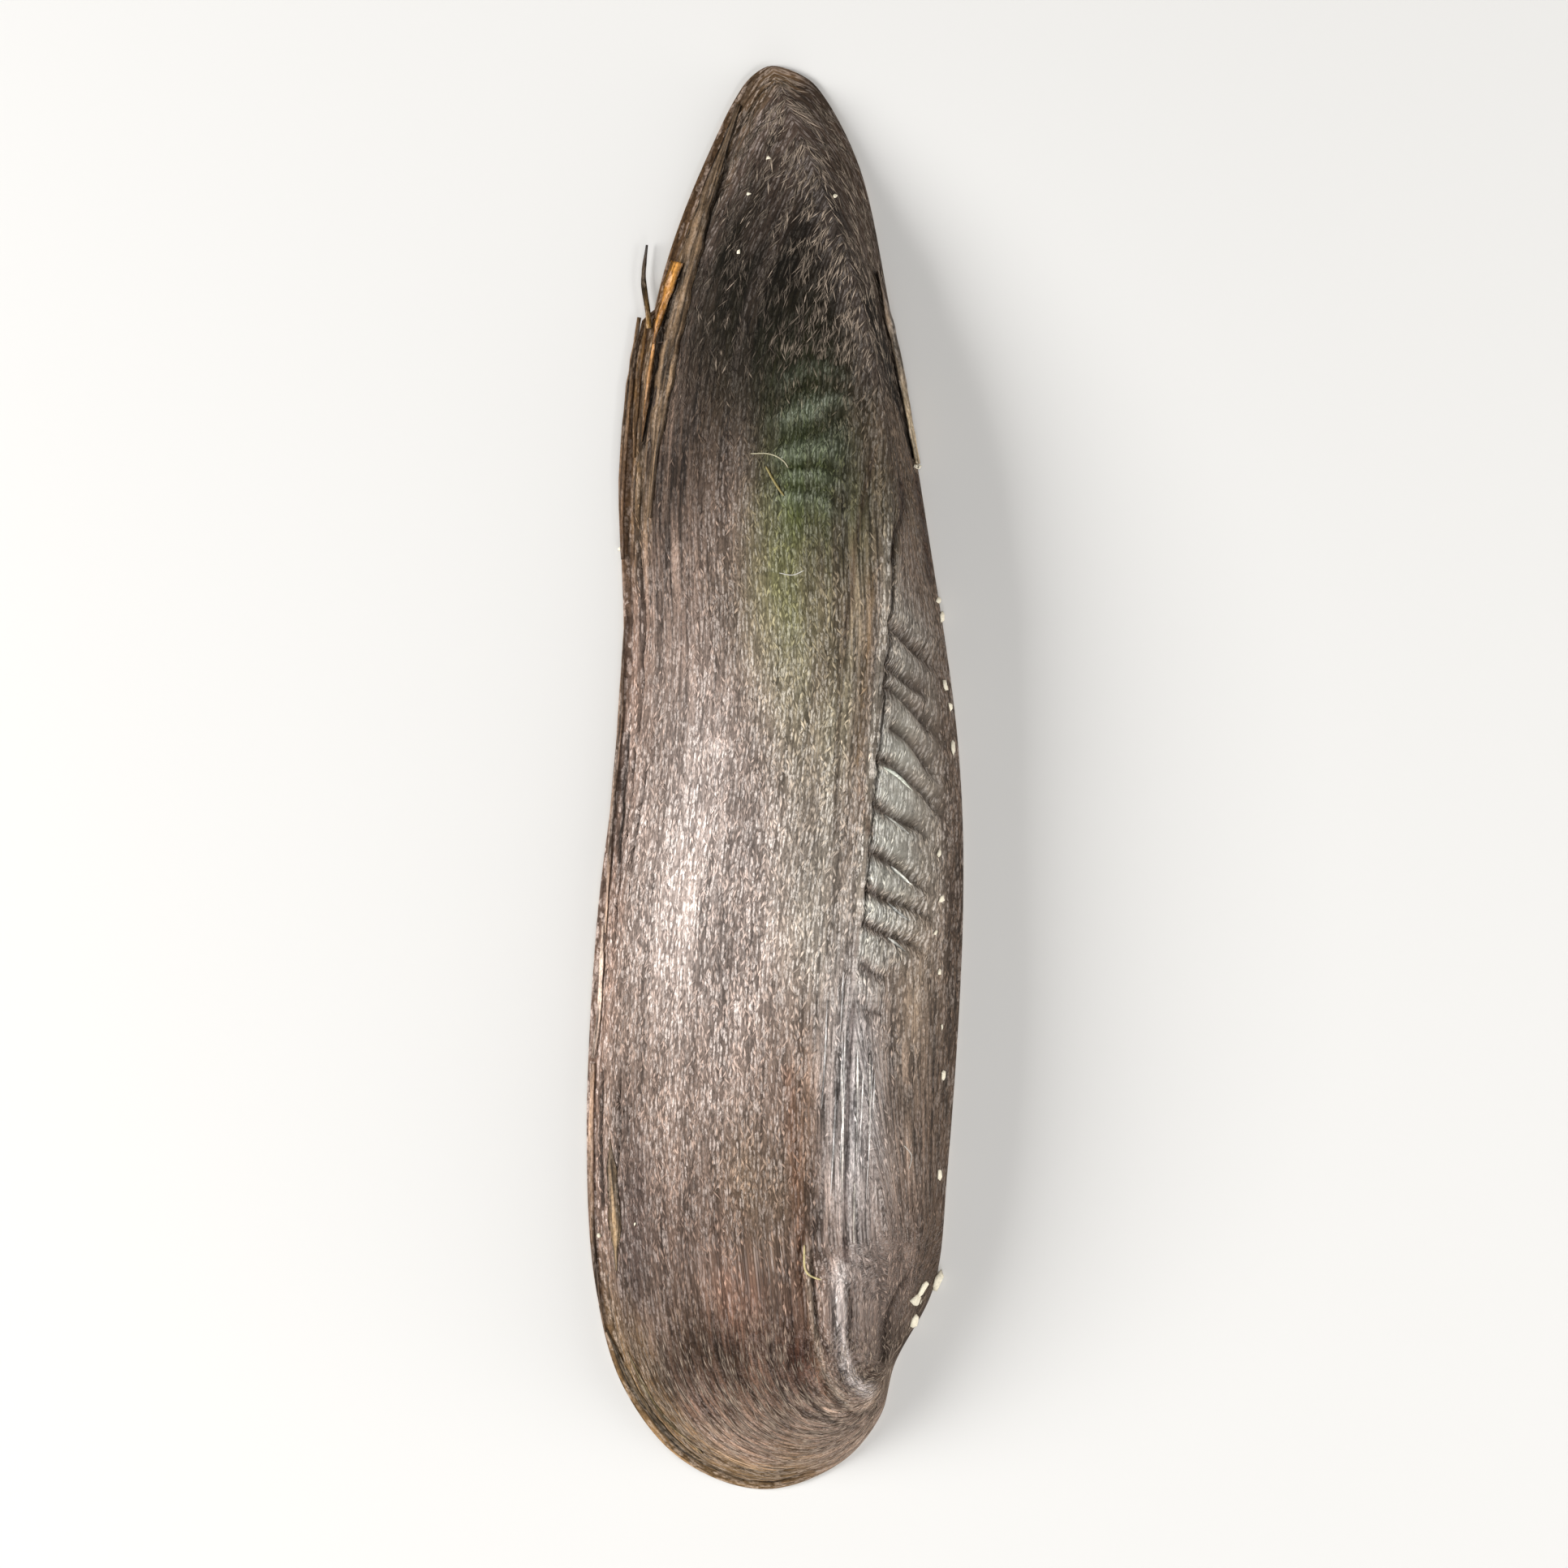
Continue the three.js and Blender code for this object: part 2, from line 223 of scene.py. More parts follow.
def rounding(y, direction_x):
    sharpened = smoothstep(*HINGE_ROUNDING["change"], y / LENGTH)
    hinge = mix(HINGE_ROUNDING["front"], HINGE_ROUNDING["rear"], sharpened)
    return mix(BELLY_ROUNDING, hinge, hinge_share(direction_x))


def torn_depth(y):
    begun = smoothstep(TEAR["at"], TEAR["at"] + TEAR["ramp"], y)
    healed = smoothstep(TEAR["at"], TEAR["end"], y)
    return TEAR["depth"] * (begun * (1 - healed))


def back_height(y, share, direction_x):
    return LIP + (crest_height(y) - LIP) * (1 - share ** rounding(y, direction_x))


def hollow_height(y, share, direction_x):
    ceiling = np.maximum(THINNEST_HOLLOW, crest_height(y) - wall_thickness(y))
    return ceiling * (1 - share ** rounding(y, direction_x))


def rim_width(direction_x, y):
    towards_hinge = smoothstep(0.6, 1.0, direction_x)
    begun = smoothstep(*HINGE_PLATE["front"], y / LENGTH)
    ended = smoothstep(*HINGE_PLATE["rear"], y / LENGTH)
    return mix(RIM, HINGE_PLATE["width"], towards_hinge * begun * (1 - ended))


# Columns from the ridge to the margin, in order round the outline
def spread(line, count):
    along = arc_lengths(line)
    wanted = along[-1] * np.arange(1, count + 1) / (count + 1)
    return np.column_stack([np.interp(wanted, along, line[:, i]) for i in (0, 1)])


def ridge_stations():
    """Places along the ridge, closer together beside the pleats."""
    y = np.linspace(REAR_END[1], FRONT_END[1], PLEAT_STATIONS["steps"])
    rear, front = (smoothstep(*PLEAT_STATIONS[end], y / LENGTH) for end in ("rear", "front"))
    passed = np.cumsum(1 + PLEAT_STATIONS["crowding"] * (rear * front))
    return np.interp(np.linspace(passed[0], passed[-1], STATIONS), passed, y)


def margin_columns():
    """Margin point and ridge point of each column, and the number of its station on the ridge."""
    stations = ridge_stations()
    on_ridge = np.column_stack([ridge_x(stations), stations])
    belly = np.column_stack([belly_x(stations), stations])
    hinge = np.column_stack([hinge_x(stations), stations])
    past_rear = lambda line: line[line[:, 1] > REAR_END[1]]
    past_front = lambda line: line[line[:, 1] < FRONT_END[1]]
    front = spread(np.vstack([past_front(belly_line), past_front(hinge_line)]), FRONT_COLUMNS)
    tip = spread(np.vstack([past_rear(hinge_line), past_rear(belly_line)]), TIP_COLUMNS)
    numbers = np.arange(STATIONS)
    edge = np.vstack([belly, front, hinge[::-1], tip])
    station = np.concatenate([
        numbers,
        np.full(FRONT_COLUMNS, STATIONS - 1),
        numbers[::-1],
        np.zeros(TIP_COLUMNS, int),
    ])
    return edge, on_ridge[station], station


# Growth lines: along the belly behind the umbo, and round the umbo in front of it
GROWTH_SPAN = 26.0
HINGE_GRAIN = {"level": 22.0, "spread": 8.0, "turn": 0.85, "change": (0.10, 0.28)}
HOOK = (-0.31, -0.40)
outline_from_umbo = outline - UMBO
outline_angle = np.arctan2(outline_from_umbo[:, 1], outline_from_umbo[:, 0]) % (2 * math.pi)
angle_order = np.argsort(outline_angle)
outline_reach = np.linalg.norm(outline_from_umbo, axis=1)
outline_along = arc_lengths(outline)


def growth_axis_x(y):
    """Where the growth lines turn over: the ridge behind, and straight behind the umbo near the front."""
    past_ridge = mix(REAR_END[0], TIP[0], (y - REAR_END[1]) / (TIP[1] - REAR_END[1]))
    behind = np.where(y > REAR_END[1], past_ridge, ridge_x(y))
    return mix(behind, UMBO[0], smoothstep(-0.12, -0.33, y / LENGTH))


def lines_behind(x, y):
    """Distance in from the belly margin, carried over the axis to the hinge margin, and the way along."""
    belly, hinge, axis = belly_x(y), hinge_x(y), growth_axis_x(y)
    past = np.clip((x - axis) / np.maximum(hinge - axis, 0.1), 0, 1)
    width = axis - belly
    level = mix(width, HINGE_GRAIN["level"], smoothstep(0, 0.35, past))
    beside_hinge = level - HINGE_GRAIN["spread"] * past
    over_ridge = width * (1 - HINGE_GRAIN["turn"] * past)
    turned = smoothstep(*HINGE_GRAIN["change"], y / LENGTH)
    inset = np.where(x < axis, x - belly, mix(beside_hinge, over_ridge, turned))
    way = np.interp(y, belly_line[::-1, 1], outline_along[: lowest + 1][::-1])
    return inset, way


def lines_round_umbo(x, y):
    """Distance in from the margin along outlines drawn smaller about the umbo, and the way round."""
    angle = np.arctan2(y - UMBO[1], x - UMBO[0]) % (2 * math.pi)
    margin = np.interp(angle, outline_angle[angle_order], outline_reach[angle_order], period=2 * math.pi)
    way = np.interp(angle, outline_angle[angle_order], outline_along[angle_order])
    age = np.hypot(x - UMBO[0], y - UMBO[1]) / margin
    return GROWTH_SPAN * (1 - age), way


def growth_lines(x, y):
    behind, around = lines_behind(x, y), lines_round_umbo(x, y)
    hooked = smoothstep(*HOOK, y / LENGTH)
    return mix(behind[0], around[0], hooked), mix(behind[1], around[1], hooked)


# Relief on the back
# Grooves between the pleats on the slope by the hinge, in millimetres, each from the ridge outwards
PLEAT_GROOVES = [
    [(9.8, 13.9), (11.1, 12.8), (12.4, 11.6), (13.9, 10.4), (14.5, 9.1)],
    [(9.6, 10.2), (11.1, 9.1), (12.4, 8.2), (13.7, 6.9)],
    [(9.4, 8.4), (10.8, 7.6), (12.2, 6.4), (13.7, 4.7), (14.8, 3.1)],
    [(10.6, 4.4), (12.2, 3.2), (13.7, 1.2), (14.8, -1.0)],
    [(8.6, 1.8), (10.5, 1.2), (12.2, -0.2), (13.7, -1.6), (14.8, -3.1), (15.6, -4.6)],
    [(8.7, -2.2), (10.0, -3.1), (11.5, -3.9), (13.0, -4.6), (14.1, -5.7)],
    [(8.5, -6.5), (10.0, -7.3), (11.5, -8.3), (13.0, -9.6), (13.7, -10.5)],
    [(8.3, -9.9), (9.8, -10.7), (11.5, -11.3), (13.0, -12.0), (14.5, -13.3)],
    [(7.9, -12.9), (10.0, -13.9), (12.2, -14.8), (13.7, -16.2)],
    [(7.7, -16.5), (8.9, -17.4), (10.4, -17.8)],
    [(7.4, -19.8), (8.4, -20.6), (9.8, -21.0)],
]
PLEATS = {"groove": 0.24, "valley": 0.75, "swell": 2.4, "cut": 0.28, "height": 0.7, "fade": 0.65,
          "front": (-21.0, -13.0)}
FOLDS = {"count": 5, "first": 0.279, "last": 0.186, "from": -0.03, "to": 0.225, "sag": 0.9, "height": 0.36}
THREAD = {"from": 0.19, "to": -0.115, "ramp": 0.04, "at": -0.2, "height": 0.1, "width": 0.3,
          "groove": 0.4, "cut": 0.25}
GROWTH_RIDGES = [
    {"spacing": (0.45, 0.03), "height": 0.24, "seed": 31},
    {"spacing": (1.5, 0.07), "height": 0.13, "seed": 32},
]
# Torn layers of skin along the belly: how far in each edge lies, its step, and the gap beneath it
STRIP_EDGES = (0.8, 1.7, 2.9)
STRIP_LAYER = {"wander": 0.8, "step": 0.16, "step_width": 0.09, "gap_width": 0.13, "gap_depth": 0.4,
               "opened": (0.42, 0.6)}
STRIP_WANDER = {"noises": [(0.09, 7.3, 41), (0.5, 3.1, 42)], "share": 0.4}


def nearest_on(path, x, y):
    """Distance from points to a line of straight pieces, and how far along the nearest place is."""
    nearest = np.full(x.shape, np.inf)
    share = np.zeros(x.shape)
    pieces = len(path) - 1
    for number, ((ax, ay), (bx, by)) in enumerate(zip(path[:-1], path[1:])):
        length = (bx - ax) ** 2 + (by - ay) ** 2
        along = np.clip(((x - ax) * (bx - ax) + (y - ay) * (by - ay)) / length, 0, 1)
        distance = np.hypot(x - mix(ax, bx, along), y - mix(ay, by, along))
        share = np.where(distance < nearest, (number + along) / pieces, share)
        nearest = np.minimum(nearest, distance)
    return nearest, share


def pleat_fields(x, y):
    """How much each point lies in a groove between pleats, in the valley round it, and among the pleats."""
    fields = {"groove": np.zeros_like(x), "valley": np.zeros_like(x), "swell": np.zeros_like(x)}
    beside = smoothstep(0.0, 0.4, x - ridge_x(y))
    faint = mix(0.6, 1, smoothstep(*PLEATS["front"], y))
    for path in PLEAT_GROOVES:
        distance, share = nearest_on(catmull_rom(path, closed=False, per_span=PATH_STEPS), x, y)
        vigour = faint * beside * smoothstep(1.0, PLEATS["fade"], share)
        for name, field in fields.items():
            fields[name] = np.maximum(field, vigour * np.exp(-((distance / PLEATS[name]) ** 2)))
    return fields


def pleat_relief(pleats):
    """Oblique rounded pleats with narrow grooves between them, on the slope by the hinge."""
    return PLEATS["height"] * (0.5 * pleats["swell"] - pleats["valley"]) - PLEATS["cut"] * pleats["groove"]


def fold_crest(x, y):
    """Cross folds on the back, over the younger half of the valve: 1 on the top of a strong fold."""
    middle = HEIGHT * (FOLDS["from"] + FOLDS["to"]) / 2
    half = HEIGHT * (FOLDS["to"] - FOLDS["from"]) / 2
    out = (x - middle) / half
    start = (y + FOLDS["sag"] * out * out) / LENGTH
    spacing = (FOLDS["first"] - FOLDS["last"]) / (FOLDS["count"] - 1)
    phase = (FOLDS["first"] - start) / spacing
    wander = 0.9 * (value_noise(phase * 0.8, out * 1.6, 21) - 0.5)
    crest = np.cos(2 * math.pi * (phase + wander)) * 0.5 + 0.5
    begun = smoothstep(-1.0, 0.5, phase)
    ended = smoothstep(FOLDS["count"] - 1.2, FOLDS["count"] + 0.3, phase)
    vigour = 0.3 + 1.4 * value_noise(phase * 0.9, out * 1.2, 22)
    return begun * (1 - ended) * vigour * (1 - smoothstep(0.2, 1.1, np.abs(out))) * crest ** 1.5


def thread_fields(x, y):
    """How much each point lies on the thread along the ridge, and in the groove on its hinge side."""
    off = x - ridge_x(y)
    along = y / LENGTH
    begun = smoothstep(THREAD["from"], THREAD["from"] - THREAD["ramp"], along)
    ended = smoothstep(THREAD["to"], THREAD["to"] + THREAD["ramp"], along)
    there = ended * begun
    on_line = lambda place, width: there * np.exp(-(((off - place) / width) ** 2))
    return on_line(THREAD["at"], THREAD["width"]), on_line(THREAD["groove"], THREAD["width"] / 2)


def thread_relief(x, y):
    thread, groove = thread_fields(x, y)
    return THREAD["height"] * thread - THREAD["cut"] * groove


def growth_relief(grow, run):
    """Fine growth ridges, crowding and deepening at some seasons."""
    height = 0.0
    for ridge in GROWTH_RIDGES:
        across, along = ridge["spacing"]
        height = height + ridge["height"] * (value_noise(grow * across, run * along, ridge["seed"]) - 0.5)
    return height


def strip_edge(number, run):
    return STRIP_EDGES[number] + STRIP_LAYER["wander"] * layered_noise(run, number, STRIP_WANDER)


def strip_gap(inset, run, belly):
    """How much a point lies in a gap between loose strips of skin along the belly, where painted shadow goes.
    """
    gap = np.zeros_like(inset)
    for number in range(len(STRIP_EDGES)):
        opened = smoothstep(*STRIP_LAYER["opened"], value_noise(run * 0.11, number * 5.7, 43))
        off = (inset - strip_edge(number, run)) / STRIP_LAYER["gap_width"]
        gap = np.maximum(gap, opened * np.exp(-(off**2)))
    return gap * belly


def strip_relief(inset, run, belly):
    """Layers of skin, each a little higher than the one outside it."""
    height = np.zeros_like(inset)
    for number in range(len(STRIP_EDGES)):
        half = STRIP_LAYER["step_width"]
        height += STRIP_LAYER["step"] * (smoothstep(-half, half, inset - strip_edge(number, run)) - 1)
    return belly * height - STRIP_LAYER["gap_depth"] * strip_gap(inset, run, belly)


# Cracks, worn lines, stains, painted shade and painted shadows, in millimetres: a path, its half width, its
# depth, and its colour
STROKES = [
    {"path": [(5.8, -43.5), (5.6, -47.6), (6.0, -51.3), (7.0, -54.3), (8.4, -55.6)],
     "width": 0.66, "depth": -0.14, "colour": (190, 178, 172), "strength": 1.0},
    {"path": [(6.7, -45.5), (6.7, -50.6), (7.6, -53.6), (8.4, -54.4)],
     "width": 0.22, "depth": 0.22, "colour": (58, 42, 34), "strength": 0.8},
    {"path": [(5.2, -47.0), (5.3, -50.5), (6.2, -54.0), (7.6, -56.4)],
     "width": 0.2, "depth": 0.18, "colour": (66, 48, 38), "strength": 0.7},
    {"path": [(6.2, -40.8), (6.3, -42.8)],
     "width": 0.3, "depth": 0.25, "colour": (62, 48, 44), "strength": 0.9},
    {"path": [(12.0, -44.7), (10.9, -46.4), (10.3, -47.7), (10.0, -50.2), (10.0, -52.8)],
     "width": 0.26, "depth": 0.25, "colour": (46, 34, 28), "strength": 0.8},
    {"path": [(8.3, -53.4), (9.6, -54.6)],
     "width": 0.4, "depth": 0.2, "colour": (60, 44, 34), "strength": 0.8},
    {"path": [(0.6, 58.8), (-0.8, 57.0)],
     "width": 0.18, "depth": 0.2, "colour": (34, 26, 24), "strength": 0.9},
    {"path": [(-3.0, 60.6), (-5.6, 51.8), (-7.8, 44.2), (-9.0, 38.5)],
     "width": 0.26, "depth": 0.22, "colour": (36, 28, 23), "strength": 0.75},
    {"path": [(1.2, -26.0), (1.9, -36.0), (2.6, -46.0), (4.6, -55.0)],
     "width": 0.55, "depth": 0.05, "colour": (122, 88, 68), "strength": 0.45},
    {"path": [(6.9, -20.0), (6.4, -30.0), (6.2, -40.0)],
     "width": 0.26, "depth": 0.15, "colour": (74, 60, 56), "strength": 0.7},
    {"path": [(2.6, 55.5), (5.2, 48.5), (7.6, 41.0), (8.8, 36.0)],
     "width": 1.4, "depth": 0.0, "colour": (96, 86, 80), "strength": 0.4},
    # Painted shade in the hollow on the steep slope between the ridge hairs and the flap
    {"path": [(8.7, 42.9), (9.5, 39.9), (10.4, 37.0), (11.0, 34.7)],
     "width": 0.8, "depth": 0.3, "colour": (14, 14, 10), "strength": 0.9},
    # Painted shadow of the flap, below the hollow
    {"path": [(11.0, 34.7), (11.9, 31.5), (12.6, 29.2)],
     "width": 0.28, "depth": 0.2, "colour": (24, 19, 15), "strength": 0.9},
    {"path": [(12.9, 27.2), (13.6, 22.5), (14.1, 18.0)],
     "width": 0.5, "depth": 0.0, "colour": (52, 38, 30), "strength": 0.8},
    {"path": [(8.9, 29.0), (7.9, 25.1), (7.2, 20.6), (6.8, 16.5), (5.9, 10.2), (5.6, 4.3), (5.4, -4.8)],
     "width": 0.24, "depth": 0.12, "colour": (62, 48, 38), "strength": 0.75},
    {"path": [(8.6, 18.0), (8.2, 11.0), (7.7, 6.0), (7.3, 1.0)],
     "width": 0.3, "depth": 0.05, "colour": (98, 76, 50), "strength": 0.6},
    {"path": [(11.3, 26.6), (11.5, 24.0), (10.9, 22.1), (10.4, 19.1)],
     "width": 0.3, "depth": 0.2, "colour": (40, 30, 24), "strength": 0.85},
    {"path": [(7.7, -0.5), (8.0, -3.0), (8.3, -5.0)],
     "width": 0.3, "depth": 0.1, "colour": (108, 84, 66), "strength": 0.7},
    {"path": [(3.2, -42.0), (3.5, -45.0), (3.9, -48.7), (4.8, -51.5), (6.2, -54.8)],
     "width": 0.18, "depth": 0.16, "colour": (72, 54, 44), "strength": 0.75},
    {"path": [(2.2, -41.0), (2.6, -46.0), (3.4, -51.0), (5.0, -55.5), (7.6, -58.2)],
     "width": 0.18, "depth": 0.14, "colour": (78, 58, 46), "strength": 0.7},
    {"path": [(2.8, -41.5), (3.1, -46.0), (3.7, -50.0), (4.7, -53.6), (6.4, -56.4)],
     "width": 0.22, "depth": -0.1, "colour": (186, 168, 150), "strength": 0.6},
    {"path": [(5.7, -48.5), (5.7, -51.3)],
     "width": 0.13, "depth": 0.15, "colour": (40, 30, 26), "strength": 0.9},
    {"path": [(8.6, -56.4), (10.2, -55.2), (10.6, -53.8)],
     "width": 0.6, "depth": -0.05, "colour": (168, 146, 126), "strength": 0.5},
    # Painted shadow in the gap beside the orange strip
    {"path": [(-9.4, 43.6), (-10.7, 38.4), (-11.7, 34.0), (-12.3, 30.4)],
     "width": 0.3, "depth": 0.3, "colour": (20, 14, 11), "strength": 0.95},
    # Painted shadow in the gap between two loose strips
    {"path": [(-12.5, 36.0), (-12.7, 29.0)],
     "width": 0.2, "depth": 0.25, "colour": (24, 17, 13), "strength": 0.9},
    # Painted shadows in the gaps beside loose strips at the belly margin
    {"path": [(-13.7, 4.0), (-14.2, -3.0), (-14.6, -7.6)],
     "width": 0.22, "depth": 0.25, "colour": (34, 25, 20), "strength": 0.9},
    {"path": [(-16.0, -26.8), (-16.1, -33.0), (-15.9, -39.0)],
     "width": 0.24, "depth": 0.25, "colour": (36, 27, 22), "strength": 0.9},
]


def stroke_share(stroke, x, y):
    distance = nearest_on(catmull_rom(stroke["path"], closed=False, per_span=PATH_STEPS), x, y)[0]
    return np.exp(-((distance / stroke["width"]) ** 2))


def stroke_relief(x, y):
    return -sum(stroke["depth"] * stroke_share(stroke, x, y) for stroke in STROKES)


# Growth ribs that bend round the umbo, in millimetres
UMBO_RIBS = {
    "path": [(6.0, -34.0), (5.5, -40.0), (5.3, -43.4), (5.7, -47.7),
             (5.9, -50.8), (6.8, -53.4), (8.1, -54.9), (9.2, -55.2)],
    "begin": (0.5, 1.0), "reach": (8.0, 3.5), "rear": (0.0, 0.2), "height": 0.25, "contrast": 1.35,
    "noises": [(1.9, 2.5, 91), (4.0, 3.5, 92)], "share": 0.6,
}


def umbo_ribs(x, y):
    """Uneven ribs outside the bend of the umbo, below zero in the furrows between them."""
    path = catmull_rom(UMBO_RIBS["path"], closed=False, per_span=PATH_STEPS)
    distance, share = nearest_on(path, x, y)
    outside = x < np.interp(y, path[::-1, 1], path[::-1, 0])
    rib = layered_noise(distance, share, UMBO_RIBS)
    within = smoothstep(*UMBO_RIBS["begin"], distance) * smoothstep(*UMBO_RIBS["reach"], distance)
    within = within * smoothstep(*UMBO_RIBS["rear"], share)
    return np.where(outside, rib * within, 0.0)


# Relief under the shell, upwards into the wall
def socket_relief(x, y):
    """Grooves on both sides of each hinge tooth."""
    depth = np.zeros_like(x)
    for tooth in (LONG_TOOTH, SHORT_TOOTH):
        middle = LENGTH * (tooth["from"] + tooth["to"]) / 2
        half = LENGTH * (tooth["to"] - tooth["from"]) / 2
        for side in (-1, 1):
            centre = hinge_x(y) - tooth["inset"] + side * (tooth["thickness"] + SOCKET["width"]) / 2
            off = ((x - centre) / (SOCKET["width"] / 2)) ** 2 + ((y - middle) / half) ** 2
            depth = np.maximum(depth, SOCKET["depth"] * np.sqrt(np.clip(1 - off, 0, 1)))
    return depth


def hollow_relief(x, y, share):
    """Muscle scars and the line where the mantle held on."""
    depth = MANTLE_LINE["depth"] * np.exp(-(((share - MANTLE_LINE["share"]) / MANTLE_LINE["width"]) ** 2))
    for scar in SCARS:
        across = (x - scar["at"][0] * HEIGHT) / scar["reach"][0]
        along = (y - scar["at"][1] * LENGTH) / scar["reach"][1]
        depth = np.maximum(depth, scar["depth"] * (1 - smoothstep(0.75, 1.0, np.hypot(across, along))))
    return depth


# Colours of the skin, and one painted sheen: where each lies as shares of HEIGHT and LENGTH, how far it
# reaches, and how strongly
SKIN = (127, 109, 98)
ZONES = [
    {"at": (0.00, 0.450), "reach": (0.45, 0.080), "colour": (106, 90, 81), "strength": 0.8},
    {"at": (-0.03, 0.330), "reach": (0.33, 0.110), "colour": (20, 16, 8), "strength": 1.15},
    {"at": (0.15, 0.345), "reach": (0.18, 0.070), "colour": (32, 26, 21), "strength": 0.8},
    {"at": (0.02, 0.280), "reach": (0.24, 0.050), "colour": (25, 22, 12), "strength": 0.84},
    {"at": (-0.26, 0.230), "reach": (0.14, 0.080), "colour": (66, 54, 45), "strength": 0.8},
    {"at": (0.10, 0.240), "reach": (0.18, 0.065), "colour": (38, 38, 22), "strength": 0.8},
    {"at": (0.32, 0.200), "reach": (0.10, 0.080), "colour": (82, 72, 55), "strength": 0.7},
    {"at": (0.11, 0.190), "reach": (0.13, 0.055), "colour": (44, 56, 26), "strength": 0.85},
    {"at": (0.06, 0.120), "reach": (0.15, 0.070), "colour": (98, 100, 62), "strength": 0.65},
    {"at": (0.10, 0.040), "reach": (0.13, 0.060), "colour": (138, 133, 106), "strength": 0.55},
    # Painted sheen, over skin that is paler there too: the broad pale patch on the belly side of the back
    {"at": (-0.18, -0.060), "reach": (0.22, 0.130), "colour": (173, 158, 150), "strength": 0.85},
    {"at": (0.12, -0.070), "reach": (0.12, 0.100), "colour": (153, 145, 133), "strength": 0.6},
    {"at": (0.36, 0.000), "reach": (0.10, 0.140), "colour": (146, 139, 127), "strength": 0.75},
    {"at": (0.36, -0.190), "reach": (0.10, 0.090), "colour": (128, 112, 96), "strength": 0.7},
    {"at": (0.20, -0.230), "reach": (0.085, 0.110), "colour": (174, 167, 164), "strength": 0.75},
    {"at": (0.075, -0.244), "reach": (0.03, 0.060), "colour": (160, 122, 92), "strength": 0.5},
    {"at": (-0.04, -0.298), "reach": (0.10, 0.055), "colour": (116, 98, 74), "strength": 0.6},
    {"at": (-0.15, -0.330), "reach": (0.35, 0.060), "colour": (106, 88, 78), "strength": 0.7},
    {"at": (-0.37, -0.320), "reach": (0.05, 0.090), "colour": (74, 62, 58), "strength": 0.8},
    {"at": (-0.22, -0.410), "reach": (0.22, 0.060), "colour": (88, 69, 56), "strength": 0.85},
    {"at": (0.00, -0.390), "reach": (0.12, 0.055), "colour": (92, 68, 56), "strength": 0.75},
    {"at": (0.05, -0.480), "reach": (0.40, 0.040), "colour": (154, 131, 113), "strength": 0.8},
    {"at": (-0.14, -0.392), "reach": (0.08, 0.030), "colour": (52, 40, 33), "strength": 0.7},
    {"at": (-0.265, -0.424), "reach": (0.05, 0.030), "colour": (46, 34, 28), "strength": 0.7},
    {"at": (0.07, -0.399), "reach": (0.045, 0.022), "colour": (64, 38, 30), "strength": 0.55},
    {"at": (-0.09, -0.356), "reach": (0.08, 0.025), "colour": (134, 105, 91), "strength": 0.45},
    {"at": (-0.18, -0.429), "reach": (0.07, 0.020), "colour": (130, 104, 91), "strength": 0.45},
    {"at": (-0.04, -0.467), "reach": (0.12, 0.020), "colour": (146, 119, 104), "strength": 0.45},
    {"at": (0.22, -0.450), "reach": (0.12, 0.035), "colour": (162, 140, 124), "strength": 0.75},
]
# Where the skin is worn to a satin sheen
SATIN = [
    {"at": (-0.17, -0.070), "reach": (0.20, 0.130)},
    {"at": (0.34, -0.010), "reach": (0.09, 0.130)},
    {"at": (0.13, -0.100), "reach": (0.12, 0.140)},
]
# Where the skin is smooth, with few flecks
SMOOTH = [
    {"at": (0.35, -0.015), "reach": (0.10, 0.130)},
]
# Where long streaks along the growth lines show more than short flecks
STREAKY = [
    {"at": (0.19, -0.250), "reach": (0.14, 0.150)},
    {"at": (0.36, -0.200), "reach": (0.12, 0.150)},
    {"at": (-0.05, -0.435), "reach": (0.48, 0.090)},
    {"at": (-0.29, 0.220), "reach": (0.13, 0.180)},
    {"at": (0.23, 0.110), "reach": (0.07, 0.130)},
]
# Where along the shell, in millimetres, the colours of the margins change
MARGIN = {"ochre_rear": (12, 24), "ochre_front": (-38, -50), "widened": (-42, -54),
          "strengthened": (-46, -56), "brown": (-56, -44), "hinge": (-60, -50)}
MARGIN_OCHRE = (136, 110, 78)
MARGIN_TAN = (160, 134, 120)
# Brown of both margins, darkened as painted shade of the steep edges
MARGIN_BROWN_AND_SHADE = (98, 75, 58)
HINGE_BROWN_AND_SHADE = (76, 62, 51)
# Painted shade for the grooves
GROOVE_SHADE = (52, 44, 37)
# Grey silver of the pleats with a painted sheen on their crests
PLEAT_SILVER_AND_SHEEN = (176, 174, 164)
THREAD_PALE = (176, 168, 154)
FOLD_PALE = (132, 140, 118)
# Painted shadow for the gaps between loose strips
GAP_SHADOW = (24, 18, 14)
# Unevenness of the colours along the growth lines, and over the whole back
RAGGED = {"noises": [(0.5, 0.06, 51), (1.6, 0.2, 52)], "share": 0.5}
CLOUDY = {"noises": [(0.35, 0.2, 53), (0.9, 0.45, 54)], "share": 0.6}


def linear(colour):
    """Linear light of a display colour given from 0 to 255."""
    share = np.asarray(colour, float) / 255
    return np.where(share <= 0.04045, share / 12.92, ((share + 0.055) / 1.055) ** 2.4)


def paint(base, colour, weight):
    return mix(base, linear(colour), np.clip(weight, 0, 1)[..., None])


def nearness(zone, x, y):
    across = (x / HEIGHT - zone["at"][0]) / zone["reach"][0]
    along = (y / LENGTH - zone["at"][1]) / zone["reach"][1]
    return np.exp(-((across**2 + along**2) ** 1.2))


